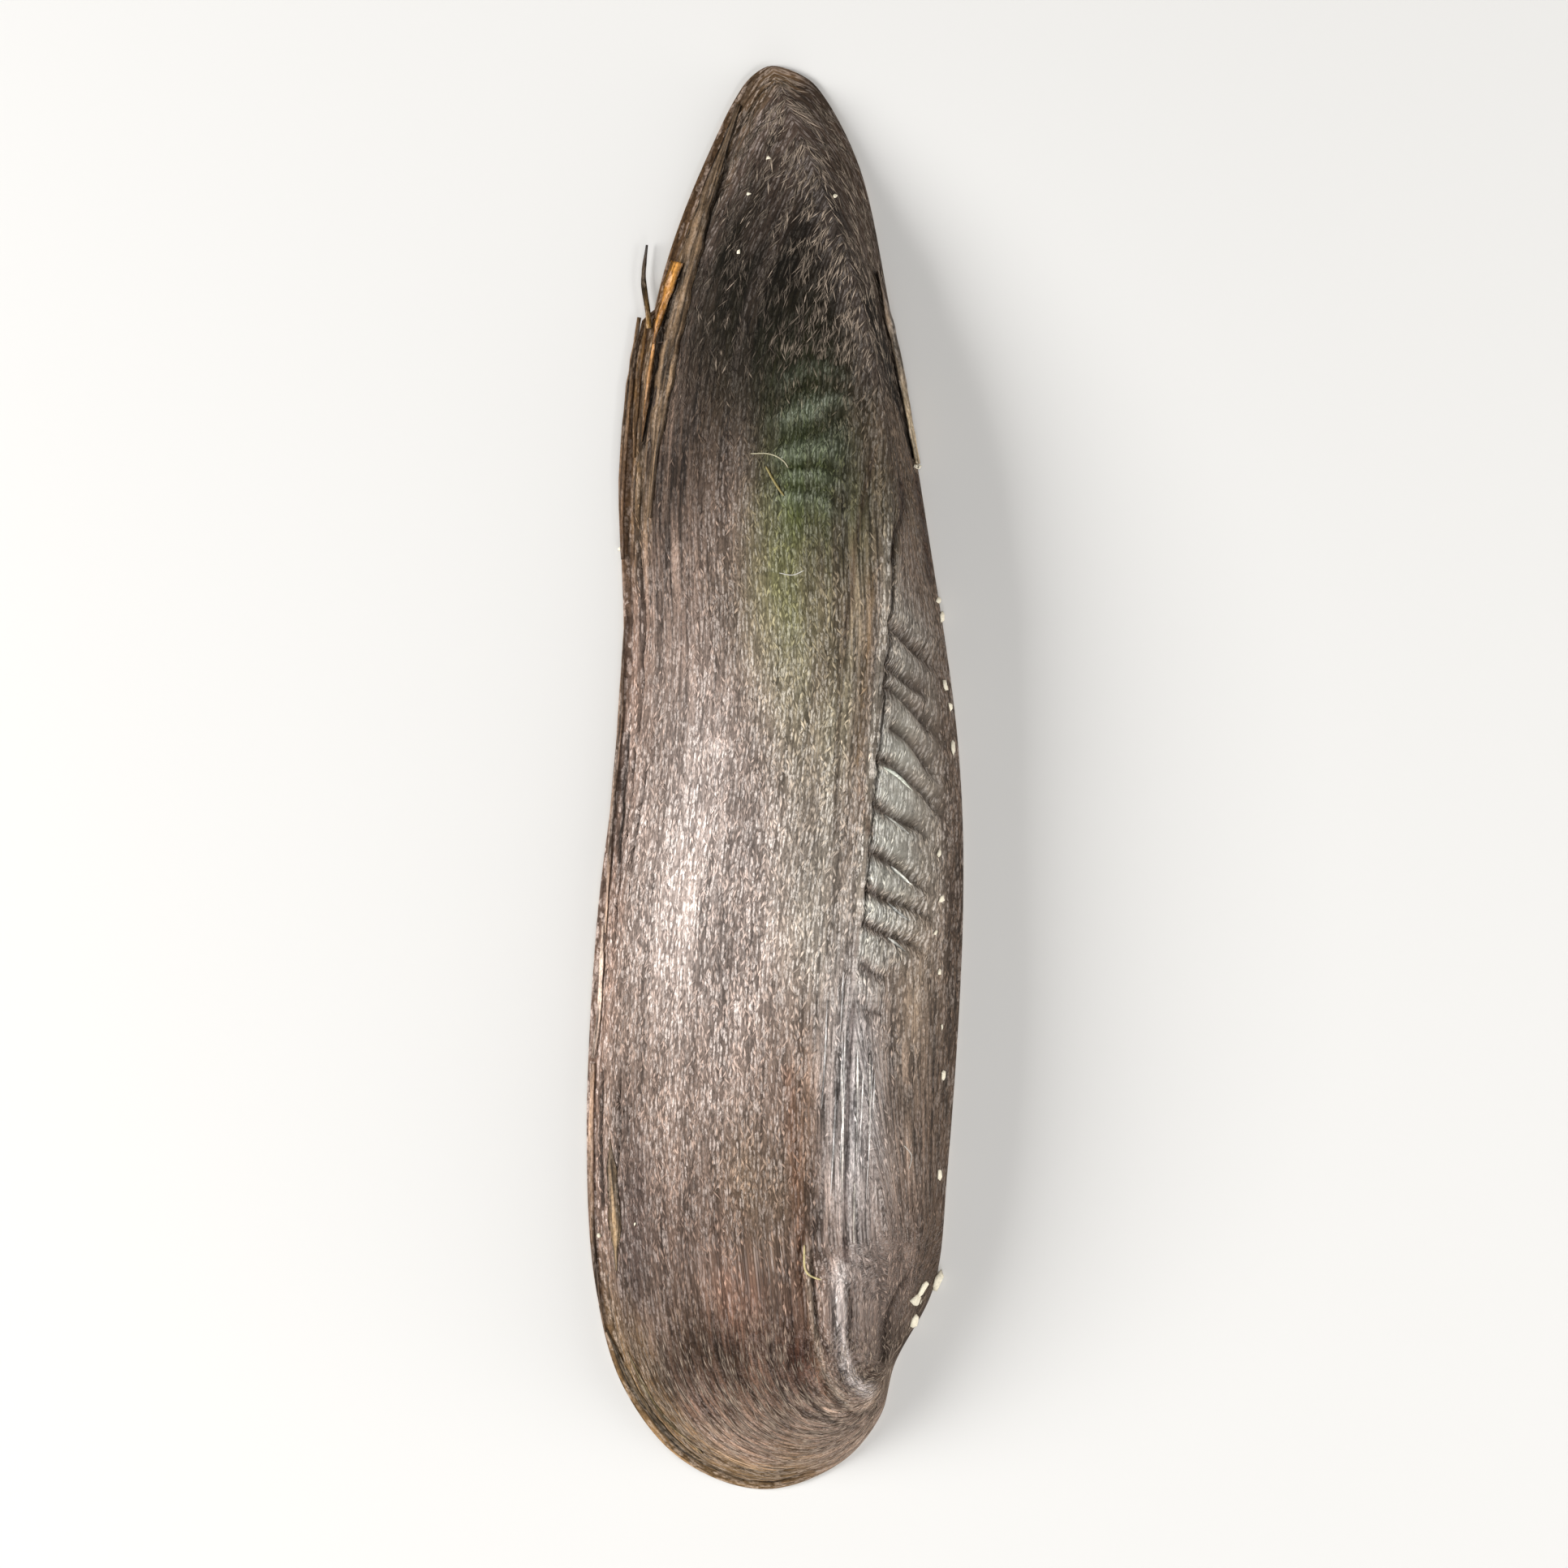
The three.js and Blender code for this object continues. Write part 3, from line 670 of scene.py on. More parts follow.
def margin_tint(tint, y, inset, hinge, ragged):
    """Ochre and tan layers along the belly margin, brown darkened with painted shade at its edge, and the
    brown hinge margin darkened with painted shade where the back falls steeply to it.
    """
    belly = 1 - hinge
    ochre = np.maximum(smoothstep(*MARGIN["ochre_rear"], y), smoothstep(*MARGIN["ochre_front"], y))
    width = mix(3.2, 5.5, smoothstep(*MARGIN["widened"], y))
    strength = mix(0.6, 0.8, smoothstep(*MARGIN["strengthened"], y))
    layers = strength * belly * (1 - smoothstep(0.6, width, inset + 2.2 * ragged))
    tint = paint(tint, MARGIN_OCHRE, layers * ochre)
    tint = paint(tint, MARGIN_TAN, layers * (1 - ochre))
    # Brown with painted shade along the very edge of the belly
    brown = belly * mix(0.35, 0.7, ochre) * (1 - smoothstep(0.3, 1.0, inset + ragged))
    tint = paint(tint, MARGIN_BROWN_AND_SHADE, brown * mix(0.2, 1, smoothstep(*MARGIN["brown"], y)))
    # Brown with painted shade along the steep hinge margin
    hinge_edge = hinge * smoothstep(*MARGIN["hinge"], y) * (1 - smoothstep(0.8, 4.2, inset + ragged))
    return paint(tint, HINGE_BROWN_AND_SHADE, 0.85 * hinge_edge)


def pleat_tint(tint, x, y, pleats):
    """Silver with painted sheen on the pleats beside the ridge, painted shade in their grooves, and the pale
    thread on the ridge with painted shade in the groove beside it.
    """
    beside = smoothstep(6.0, 1.5, x - ridge_x(y))
    crest = (pleats["swell"] - pleats["valley"]) * beside * mix(0.3, 1, smoothstep(7, 1, y))
    # The pleat crests' own grey with a painted sheen
    tint = paint(tint, PLEAT_SILVER_AND_SHEEN, 1.2 * (crest * smoothstep(-23, -12, y)))
    # Painted shade in the grooves and valleys between the pleats
    tint = paint(tint, GROOVE_SHADE, 0.15 * pleats["valley"] + 0.6 * pleats["groove"])
    thread, groove = thread_fields(x, y)
    tint = paint(tint, THREAD_PALE, 0.5 * thread)
    # Painted shade in the groove beside the thread
    return paint(tint, GROOVE_SHADE, 0.9 * groove)


def skin_tint(x, y, grow, run, inset, hinge, pleats):
    ragged = layered_noise(grow, run, RAGGED)
    cloudy = layered_noise(x, y, CLOUDY)
    tint = np.broadcast_to(linear(SKIN), x.shape + (3,)).copy()
    for zone in ZONES:
        tint = paint(tint, zone["colour"], zone["strength"] * nearness(zone, x, y) * (1 + 0.8 * ragged))
    tint = paint(tint, FOLD_PALE, 0.26 * fold_crest(x, y))
    tint = tint * (1 + 0.35 * cloudy + 0.3 * ragged + UMBO_RIBS["contrast"] * umbo_ribs(x, y))[..., None]
    tint = margin_tint(tint, y, inset, hinge, ragged)
    tint = pleat_tint(tint, x, y, pleats)
    for stroke in STROKES:
        tint = paint(tint, stroke["colour"], stroke["strength"] * stroke_share(stroke, x, y))
    # Painted shadow in the gaps between loose strips along the belly
    return paint(tint, GAP_SHADOW, 0.95 * strip_gap(inset, run, 1 - hinge))


def strongest(zones, x, y):
    return np.max([nearness(zone, x, y) for zone in zones], axis=0)


# Meshes
def face_normals(points, quads):
    a, b, c, d = (points[quads[:, i]] for i in range(4))
    return np.cross(c - a, d - b)


def vertex_normals(points, quads):
    """Area-weighted normals of a quad mesh."""
    face = face_normals(points, quads)
    normal = np.zeros_like(points)
    for i in range(4):
        np.add.at(normal, quads[:, i], face)
    return normal / np.maximum(np.linalg.norm(normal, axis=1, keepdims=True), 1e-12)


def new_object(name, points, faces, materials, tint, grain, satin):
    """A smooth mesh object from points in millimetres, riding on the shell, with the skin's attributes."""
    mesh = bpy.data.meshes.new(name)
    mesh.from_pydata((np.asarray(points) * MM).tolist(), [], faces)
    for material in materials:
        mesh.materials.append(material)
    mesh.shade_smooth()
    colour = mesh.attributes.new("tint", "FLOAT_COLOR", "POINT")
    colour.data.foreach_set("color", np.column_stack([tint, np.ones(len(points))]).ravel())
    lines = mesh.attributes.new("grain", "FLOAT_VECTOR", "POINT")
    lines.data.foreach_set("vector", np.asarray(grain, float).ravel())
    gloss = mesh.attributes.new("satin", "FLOAT", "POINT")
    gloss.data.foreach_set("value", np.asarray(satin, float))
    thing = bpy.data.objects.new(name, mesh)
    bpy.context.scene.collection.objects.link(thing)
    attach(thing, "root")
    return thing


def valve_rings():
    """How far out each ring lies, how far across the rim, and which rings are on the back and on the rim.

    The rings go over the back to the margin, down the lip, across the flat rim, then up the hollow.
    """
    back = 1 - (1 - np.linspace(0, 1, BACK_RINGS)) ** RING_CROWDING
    rim = np.linspace(0, 1, RIM_RINGS)
    hollow = np.linspace(1, 0, HOLLOW_RINGS + 1)[1:]
    share = np.concatenate([back, np.ones(RIM_RINGS), hollow])[None, :]
    inwards = np.concatenate([np.zeros(BACK_RINGS), rim, np.ones(HOLLOW_RINGS)])[None, :, None]
    number = np.arange(RINGS)
    on_back = number < BACK_RINGS
    on_rim = ~on_back & (number < BACK_RINGS + RIM_RINGS)
    return share, inwards, on_back, on_rim


def ring_vertices(station):
    """Vertex of each column and ring. Columns of one station share its two vertices on the ridge."""
    count = len(station)
    vertex = np.zeros((count, RINGS), int)
    vertex[:, 0] = station
    vertex[:, -1] = STATIONS + station
    vertex[:, 1:-1] = 2 * STATIONS + np.arange(count * (RINGS - 2)).reshape(count, RINGS - 2)
    return vertex


def ring_quads(vertex):
    follow = np.roll(vertex, -1, axis=0)
    corners = [vertex[:, :-1], vertex[:, 1:], follow[:, 1:], follow[:, :-1]]
    return np.stack(corners, axis=-1).reshape(-1, 4)


def back_relief(x, y, grow, run, inset, hinge, pleats):
    """Height of all the relief on the back, fading out at the margin."""
    relief = pleat_relief(pleats) + FOLDS["height"] * fold_crest(x, y)
    relief = relief + thread_relief(x, y) + stroke_relief(x, y)
    relief = relief + growth_relief(grow, run) * (1 - 0.6 * strongest(SMOOTH, x, y))
    relief = relief + strip_relief(inset, run, 1 - hinge)
    relief = relief + UMBO_RIBS["height"] * umbo_ribs(x, y)
    return np.maximum(relief, -DEEPEST_RELIEF) * smoothstep(0.0, 0.5, inset)


def build_valve(skin, margin, nacre):
    """The whole shell as one closed mesh, and what its back is like for the small pieces laid on it."""
    edge, top, station = margin_columns()
    out = edge - top
    reach = np.linalg.norm(out, axis=1)[:, None]
    direction_x = out[:, :1] / reach
    inner = edge - out / reach * rim_width(direction_x, edge[:, 1:])
    torn = np.where(direction_x < 0, torn_depth(edge[:, 1:]), 0.0)

    share, inwards, on_back, on_rim = valve_rings()
    base = mix(edge[:, None], inner[:, None], inwards)
    flat = mix(top[:, None], base, share[..., None])
    x = flat[..., 0] + torn * smoothstep(TEAR["reach"], 1, share)
    y = flat[..., 1]
    ceiling = hollow_height(y, share, direction_x) + hollow_relief(x, y, share)
    under = np.where(on_rim, socket_relief(x, y), ceiling)
    z = np.where(on_back, back_height(y, share, direction_x), under)

    vertex = ring_vertices(station)
    quads = ring_quads(vertex)

    def gather(values):
        gathered = np.zeros((vertex.max() + 1,) + values.shape[2:])
        gathered[vertex.ravel()[::-1]] = values.reshape((-1,) + values.shape[2:])[::-1]
        return gathered

    grow, run = growth_lines(flat[..., 0], y)
    inset = (1 - share) * reach
    hinge = np.broadcast_to(smoothstep(0.0, 0.6, direction_x), inset.shape)
    pleats = pleat_fields(x, y)
    relief = np.where(on_back, back_relief(x, y, grow, run, inset, hinge, pleats), 0.0)
    points = gather(np.stack([x, y, z], axis=-1))
    points += vertex_normals(points, quads) * gather(relief[..., None])

    # Quads with two corners on one ridge vertex are triangles
    faces = [list(dict.fromkeys(quad)) for quad in quads.tolist()]
    tint = gather(skin_tint(x, y, grow, run, inset, hinge, pleats))
    grain = gather(np.stack([grow, run, strongest(STREAKY, x, y) - strongest(SMOOTH, x, y)], axis=-1))
    satin = gather(strongest(SATIN, x, y))
    valve = new_object("valve_shell", points, faces, [skin, margin, nacre], tint, grain, satin)
    ring = np.tile(np.arange(RINGS - 1), len(station))
    kind = np.where(ring < BACK_RINGS - 1, 0, np.where(ring < BACK_RINGS, 1, 2))
    valve.data.polygons.foreach_set("material_index", kind.astype(np.int32))
    valve.data.set_sharp_from_angle(angle=SHARP_ANGLE)
    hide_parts("valve")
    on_top = [faces[i] for i in np.flatnonzero(kind == 0)]
    return {
        "points": points, "quads": quads[(kind == 0) & (ring > 0)], "tint": tint, "grain": grain,
        "satin": satin, "tree": BVHTree.FromPolygons(points.tolist(), on_top),
    }


# Scales: small raised flakes of dry skin that lie along the growth lines
SCALES = {
    "count": 15000, "length": (0.5, 1.4), "width": (0.13, 0.28), "rise": (0.02, 0.06), "lowest": (0.6, 1.2),
    "thinning": 0.85, "tilt": 0.35, "lean": 0.22, "shade": (1.2, 2.5),
}
# Hairs: how much longer and narrower they are than flakes, where they begin, and how pale they are
HAIRS = {
    "length": 1.6, "width": 0.5, "rear": (0.20, 0.34), "front": (-0.33, -0.42), "front_share": 0.8,
    "crowding": 3.2, "clumps": (0.3, 0.75), "tilt": 0.12, "colour": (170, 153, 136), "tone": (0.1, 1.1),
    "spread": 4.5, "far": 0.27, "glints": 0.12,
}
SCALE_SEED = 71


def hair_share(y):
    """How far the flakes are thin pale hairs, at both ends of the shell."""
    rear, front = (smoothstep(*HAIRS[end], y / LENGTH) for end in ("rear", "front"))
    return np.maximum(rear, HAIRS["front_share"] * front)


def scale_quads(back, rng):
    """Quads of the back that flakes and hairs lie on, more of them where hairs crowd."""
    quads = back["quads"]
    corner = quads[:, 0]
    area = np.linalg.norm(face_normals(back["points"], quads), axis=1)
    hairy = hair_share(back["points"][corner, 1])
    grow, run, kind = back["grain"][corner].T
    clump = smoothstep(*HAIRS["clumps"], value_noise(grow * 1.5, run * 0.6, 72))
    likely = area * smoothstep(*SCALES["lowest"], back["points"][corner, 2])
    likely *= mix(1 - SCALES["thinning"] * np.abs(kind), HAIRS["crowding"] * clump, hairy)
    return quads[rng.choice(len(quads), SCALES["count"], p=likely / likely.sum())]


def scale_colours(at, tint, hairy, between):
    """Flakes are paler than the skin under them; hairs are pale by the ridge, at the front and in glints."""
    shade = between(SCALES["shade"])
    beside = np.exp(-(((at[:, :1] - ridge_x(at[:, 1:2])) / HAIRS["spread"]) ** 2))
    bright = np.where(at[:, 1:2] < 0, 1, mix(HAIRS["far"], 1, beside))
    pale = linear(HAIRS["colour"]) * between(HAIRS["tone"])
    pale *= np.where(between((0, 1)) < HAIRS["glints"], 1, bright)
    return mix(tint * shade, pale, hairy)


def unit(vectors):
    return vectors / np.maximum(np.linalg.norm(vectors, axis=1, keepdims=True), 1e-9)


def build_scales(back, skin):
    """Flakes and hairs, each a closed spindle of eight triangles lying along the growth lines."""
    rng = np.random.default_rng(SCALE_SEED)
    count = SCALES["count"]
    chosen = scale_quads(back, rng)
    u, v = rng.random((2, count, 1))

    def blend(values):
        a, b, c, d = (values[chosen[:, i]] for i in range(4))
        return mix(mix(a, b, u), mix(d, c, u), v), mix(b - a, c - d, v), mix(d - a, c - b, u)

    at, step_u, step_v = blend(back["points"])
    grain, grain_u, grain_v = blend(back["grain"])
    tint = blend(back["tint"])[0]
    satin = blend(back["satin"][:, None])[0][:, 0]
    normal = unit(np.cross(step_u, step_v))
    along = unit(step_v * grain_u[:, :1] - step_u * grain_v[:, :1])
    tilt = np.where(at[:, 1:2] < HAIRS["front"][0] * LENGTH, HAIRS["tilt"], SCALES["tilt"])
    along = unit(along + tilt * rng.normal(size=(count, 1)) * np.cross(normal, along))
    side = unit(np.cross(normal, along) + SCALES["lean"] * rng.normal(size=(count, 1)) * normal)

    hairy = hair_share(at[:, 1:2])
    between = lambda limits: rng.uniform(*limits, (count, 1))
    half_length = between(SCALES["length"]) / 2 * mix(1, HAIRS["length"], hairy)
    half_width = between(SCALES["width"]) / 2 * mix(1, HAIRS["width"], hairy)
    rise = between(SCALES["rise"])
    corners = [
        at + along * half_length, at + side * half_width, at - along * half_length, at - side * half_width,
        at + normal * rise, at - normal * rise,
    ]
    points = np.stack(corners, axis=1).reshape(-1, 3)
    ring = [(0, 1), (1, 2), (2, 3), (3, 0)]
    pattern = np.array([(a, b, 4) for a, b in ring] + [(b, a, 5) for a, b in ring])
    faces = (np.arange(count)[:, None, None] * len(corners) + pattern).reshape(-1, 3)
    colour = scale_colours(at, tint, hairy, between)
    repeat = lambda values: np.repeat(values, len(corners), axis=0)
    new_object("skin_scales", points, faces.tolist(), [skin], repeat(colour), repeat(grain), repeat(satin))


# Loose strips of skin, and pale ribbons that are painted glints on the pleats, in millimetres: a path, the
# width, what is left of it at each end, the lift, and the colours of both ends
STRIPS_AND_PAINTED_GLINTS = [
    {"path": [(-3.3, 61.4), (-5.9, 53.5), (-7.4, 48.2), (-9.1, 41.4), (-10.6, 32.5), (-11.5, 23.6)],
     "width": 1.8, "ends": (0.3, 0.3), "rise": 0.04, "colours": ((98, 82, 66), (116, 97, 78))},
    {"path": [(-8.9, 47.0), (-9.9, 44.2), (-10.7, 41.6), (-11.1, 39.5)],
     "width": 1.15, "ends": (0.95, 0.2), "rise": 0.25, "colours": ((188, 138, 84), (150, 108, 68))},
    {"path": [(-10.9, 40.5), (-11.3, 37.5), (-11.8, 33.5), (-12.2, 30.6)],
     "width": 0.45, "ends": (0.5, 0.3), "rise": 0.2, "colours": ((150, 112, 76), (116, 90, 66))},
    {"path": [(-11.7, 41.8), (-12.4, 37.7), (-12.8, 32.5), (-12.9, 29.2)],
     "width": 0.6, "ends": (0.6, 0.3), "rise": 0.12, "colours": ((128, 100, 70), (104, 82, 62))},
    {"path": [(-12.4, 42.0), (-13.0, 37.7), (-13.6, 32.5), (-13.9, 28.0), (-14.0, 23.6), (-13.9, 19.9)],
     "width": 0.7, "ends": (0.5, 0.5), "rise": 0.15, "colours": ((118, 94, 70), (112, 90, 74))},
    {"path": [(-11.5, 41.0), (-11.6, 42.4), (-12.0, 45.5), (-11.7, 48.6)],
     "width": 0.5, "ends": (0.9, 0.4), "rise": 0.3, "colours": ((150, 118, 76), (74, 70, 68))},
    {"path": [(-13.7, 14.7), (-14.2, 4.3), (-14.6, 0.0), (-15.1, -6.8), (-15.5, -14.2)],
     "width": 0.45, "ends": (0.3, 0.4), "rise": 0.12, "colours": ((140, 116, 98), (168, 146, 130))},
    {"path": [(-15.7, -13.5), (-16.1, -21.7), (-16.6, -25.6)],
     "width": 0.45, "ends": (0.4, 0.8), "rise": 0.14, "colours": ((190, 170, 154), (180, 160, 146))},
    {"path": [(-16.6, -26.1), (-16.8, -32.8), (-16.7, -40.2), (-16.2, -46.2), (-15.5, -50.6)],
     "width": 0.5, "ends": (0.8, 0.3), "rise": 0.12, "colours": ((156, 132, 114), (110, 90, 74))},
    {"path": [(-15.0, -32.8), (-14.6, -38.7), (-14.4, -44.7)],
     "width": 1.1, "ends": (0.15, 0.2), "rise": 0.02, "colours": ((116, 98, 80), (118, 100, 78))},
    {"path": [(-15.4, -50.4), (-12.5, -56.3), (-8.2, -61.4), (-3.0, -64.2)],
     "width": 0.7, "ends": (0.3, 0.3), "rise": 0.05, "colours": ((112, 95, 74), (128, 108, 86))},
    {"path": [(-13.4, -52.1), (-10.6, -57.4), (-6.6, -61.4)],
     "width": 0.45, "ends": (0.3, 0.3), "rise": 0.03, "colours": ((136, 118, 90), (136, 118, 90))},
    {"path": [(7.05, -35.8), (7.0, -41.2)],
     "width": 0.16, "ends": (0.5, 0.5), "rise": 0.03, "colours": ((214, 206, 196), (200, 192, 182))},
    {"path": [(5.9, -25.5), (6.0, -31.0), (5.9, -37.5)],
     "width": 0.2, "ends": (0.4, 0.4), "rise": 0.03, "colours": ((204, 198, 192), (184, 176, 168))},
    {"path": [(7.3, -23.0), (7.3, -29.0), (7.2, -34.0)],
     "width": 0.14, "ends": (0.4, 0.4), "rise": 0.03, "colours": ((198, 194, 188), (206, 198, 190))},
    {"path": [(8.4, -24.5), (8.4, -31.5)],
     "width": 0.16, "ends": (0.4, 0.4), "rise": 0.03, "colours": ((186, 180, 172), (176, 168, 160))},
    # Painted glints: pale ribbons lying flat on the pleats where they catch the light
    {"path": [(10.3, -7.9), (11.1, -8.6), (12.2, -9.6)],
     "width": 0.34, "ends": (0.4, 0.3), "rise": 0.0, "colours": ((216, 216, 207), (208, 206, 196))},
    {"path": [(10.1, -11.2), (11.0, -12.0), (12.0, -12.8)],
     "width": 0.3, "ends": (0.3, 0.2), "rise": 0.0, "colours": ((214, 214, 206), (198, 195, 186))},
    {"path": [(10.0, -14.2), (10.8, -14.8), (11.6, -15.5)],
     "width": 0.28, "ends": (0.3, 0.3), "rise": 0.0, "colours": ((208, 207, 199), (194, 191, 182))},
    {"path": [(9.6, 0.9), (10.9, 0.2), (12.3, -1.2)],
     "width": 0.4, "ends": (0.3, 0.2), "rise": 0.0, "colours": ((184, 188, 176), (172, 172, 160))},
    {"path": [(9.7, -3.3), (10.8, -4.1), (11.9, -5.0)],
     "width": 0.24, "ends": (0.3, 0.5), "rise": 0.0, "colours": ((184, 182, 172), (210, 208, 199))},
]
# Fine silver lines beside the ridge, in front of the pleats
SILVER = {"count": 11, "across": (4.0, 9.0), "from": (-28.0, -17.0), "length": (3.0, 10.0),
          "width": (0.1, 0.17), "ends": (0.3, 0.3), "colour": (196, 191, 187)}
SILVER_SEED = 81
STRIP_SEED = 100
STRIP_SEED_STEP = 10
STRIP_SHEEN = 0.2
STRIP_THICKNESS = 0.12
STRIP_SUNK = 0.02
STRIP_STEPS = 14
STRIP_ACROSS = np.array((-1.0, -0.5, 0.0, 0.5, 1.0))
EDGE_HEIGHT = 0.35
# Skin that stands up along the hinge margin
FLAP = {"path": [(9.3, 45.9), (10.8, 39.9), (11.7, 35.5), (12.6, 30.6), (13.0, 28.6)],
        "width": 0.75, "ends": (0.15, 0.7), "rise": 0.0, "colours": ((120, 104, 92), (158, 142, 118))}
FLAP_HEIGHT = 1.3
FLAP_SEED = 300


def height_on(back, x, y):
    """Height of the finished back under a point, or of the margin where the point lies outside it."""
    hit = back["tree"].ray_cast(Vector((x, y, 2 * INFLATION)), Vector((0, 0, -1)))[0]
    return EDGE_HEIGHT if hit is None else hit.z


def heights_on(back, flat):
    return np.array([[height_on(back, *place) for place in row] for row in flat])


def sideways(line):
    """Which way is right of a flat line, at each of its points."""
    tangent = unit(np.gradient(line, axis=0))
    return np.column_stack([tangent[:, 1], -tangent[:, 0]])


def tube_faces(steps, around):
    """Faces of a row of rings joined up and closed at both ends."""
    first = np.arange(steps - 1)[:, None] * around
    near = first + np.arange(around)
    far = first + np.roll(np.arange(around), -1)
    walls = np.stack([near, far, far + around, near + around], axis=-1)
    last = (steps - 1) * around
    ends = [list(range(around))[::-1], list(range(last, last + around))]
    return walls.reshape(-1, 4).tolist() + ends


def ribbon(back, strip, thickness, seed):
    """One strip of skin or painted glint along its path: a ring of points at each step, closed at both ends.
    """
    line = catmull_rom(strip["path"], closed=False, per_span=STRIP_STEPS)
    along = arc_lengths(line)
    share = along / along[-1]
    taper = np.minimum(mix(strip["ends"][0], 1, smoothstep(0, 0.3, share)),
                       mix(strip["ends"][1], 1, smoothstep(1, 0.6, share)))
    half = strip["width"] / 2 * taper * (0.75 + 0.5 * value_noise(along * 0.8, 0.5, seed))
    flat = line[:, None] + sideways(line)[:, None] * (half[:, None] * STRIP_ACROSS)[..., None]
    ground = heights_on(back, flat) + strip["rise"] * (0.4 + value_noise(along * 0.3, 3.5, seed))[:, None]
    upper = np.dstack([flat, ground + thickness * (1 - 0.5 * STRIP_ACROSS**2)])
    lower = np.dstack([flat, ground - STRIP_SUNK])[:, -2:0:-1]
    rows = np.concatenate([upper, lower], axis=1)
    steps, around = rows.shape[:2]
    points = rows.reshape(-1, 3)
    across = np.tile(np.arange(around) * half.mean() / 2, steps) + seed
    grain = np.column_stack([across, np.repeat(along, around), np.ones(len(points))])
    tone = 0.6 + 0.7 * value_noise(grain[:, 0] * 3, grain[:, 1] * 0.6, seed + 1)
    first_colour, last_colour = (linear(colour) for colour in strip["colours"])
    tint = mix(first_colour, last_colour, np.repeat(share, around)[:, None])
    return points, tube_faces(steps, around), tint * tone[:, None], grain


def join(name, parts, material, satin):
    """One object from several loose parts."""
    points, tint, grain = (np.vstack([part[i] for part in parts]) for i in (0, 2, 3))
    starts = np.cumsum([0] + [len(part[0]) for part in parts])
    faces = [[corner + start for corner in face] for part, start in zip(parts, starts) for face in part[1]]
    return new_object(name, points, faces, [material], tint, grain, np.full(len(points), satin))


def silver_lines():
    """Strips for the silver lines, each along the ridge."""
    rng = np.random.default_rng(SILVER_SEED)
    lines = []
    for _ in range(SILVER["count"]):
        drawn = (rng.uniform(*SILVER[name]) for name in ("across", "from", "length", "width"))
        x, y, length, width = drawn
        path = [(x, y), (x - 0.02 * length, y - length / 2), (x - 0.05 * length, y - length)]
        colours = (SILVER["colour"], SILVER["colour"])
        line = {"path": path, "width": width, "ends": SILVER["ends"], "rise": 0.0, "colours": colours}
        lines.append(line)
    return lines


def build_strips(back, skin):
    every = STRIPS_AND_PAINTED_GLINTS + silver_lines()
    seeds = [STRIP_SEED + STRIP_SEED_STEP * i for i in range(len(every))]
    strips = [ribbon(back, strip, STRIP_THICKNESS, seed) for strip, seed in zip(every, seeds)]
    # Loose skin and the painted glints on the pleats, in one object
    join("loose_strips_and_painted_glints", strips, skin, STRIP_SHEEN)
    join("hinge_flap", [ribbon(back, FLAP, FLAP_HEIGHT, FLAP_SEED)], skin, STRIP_SHEEN)


# Bare chips where the skin has flaked off: place, length, width and turn
CHIPS = [
    (15.0, 16.2, 0.6, 0.40, 1.3), (15.2, 14.7, 0.7, 0.40, 1.4), (15.5, 8.4, 1.0, 0.45, 1.5),
    (16.0, 6.5, 0.6, 0.38, 1.5), (16.2, 2.8, 1.3, 0.45, 1.6), (14.8, -6.8, 0.5, 0.38, 1.5),
    (15.0, -10.9, 0.6, 0.40, 1.7), (14.5, -13.9, 0.45, 0.35, 1.5), (14.8, -17.6, 0.6, 0.35, 1.6),
    (15.1, -22.5, 0.5, 0.30, 1.5), (15.3, -27.0, 0.8, 0.32, 1.6), (15.0, -36.0, 0.9, 0.30, 1.6),
    (14.7, -46.2, 1.7, 0.55, 1.2), (12.7, -47.5, 1.5, 0.85, 1.9), (13.4, -46.5, 1.4, 0.5, 1.1),
    (12.7, -49.6, 1.0, 0.5, 1.4), (-0.6, 56.1, 0.4, 0.3, 0.6), (-2.4, 52.8, 0.3, 0.25, 0.0),
    (-3.3, 47.5, 0.3, 0.28, 0.0), (5.4, 52.5, 0.35, 0.28, 0.4), (-16.1, -41.8, 0.3, 0.28, 0.0),
    (-12.6, -40.2, 0.3, 0.22, 1.2), (12.9, 28.3, 0.7, 0.4, 0.3), (-14.1, 20.9, 0.4, 0.3, 1.0),
]
CHIP_CORNERS = 6
CHIP_THICKNESS = 0.18
CHIP_GROWTH = 1.75
CHIP_CREAM = (238, 228, 204)
CHIP_SEED = 400
CHIP_SHEEN = 0.3
CHIP_RAGGED = (0.4, 1.15)
CHIP_BEVEL = 0.15
CHIP_TONE = (0.85, 1.1)


def chip(back, place, seed):
    """One ragged flat chip lying on the back."""
    x, y, length, width, turn = place
    rng = np.random.default_rng(seed)
    angle = np.arange(CHIP_CORNERS) * 2 * math.pi / CHIP_CORNERS
    size = rng.uniform(*CHIP_RAGGED, CHIP_CORNERS) / 2
    shape = CHIP_GROWTH * np.column_stack([length * np.cos(angle) * size, width * np.sin(angle) * size])
    spin = np.array([(math.cos(turn), math.sin(turn)), (-math.sin(turn), math.cos(turn))])
    flat = shape @ spin + (x, y)
    ground = heights_on(back, flat[None])[0]
    upper = np.column_stack([mix(flat, (x, y), CHIP_BEVEL), ground + CHIP_THICKNESS])
    lower = np.column_stack([flat, np.maximum(ground - CHIP_THICKNESS, 0)])
    middle = (x, y, max(height_on(back, x, y), ground.min()) + CHIP_THICKNESS)
    corners = list(range(CHIP_CORNERS))
    follow = corners[1:] + corners[:1]
    walls = [[i + CHIP_CORNERS, j + CHIP_CORNERS, j, i] for i, j in zip(corners, follow)]
    top = [[i, j, 2 * CHIP_CORNERS] for i, j in zip(corners, follow)]
    faces = walls + top + [[i + CHIP_CORNERS for i in corners[::-1]]]
    points = np.vstack([upper, lower, middle])
    tint = np.tile(linear(CHIP_CREAM) * rng.uniform(*CHIP_TONE), (len(points), 1))
    return points, faces, tint, points


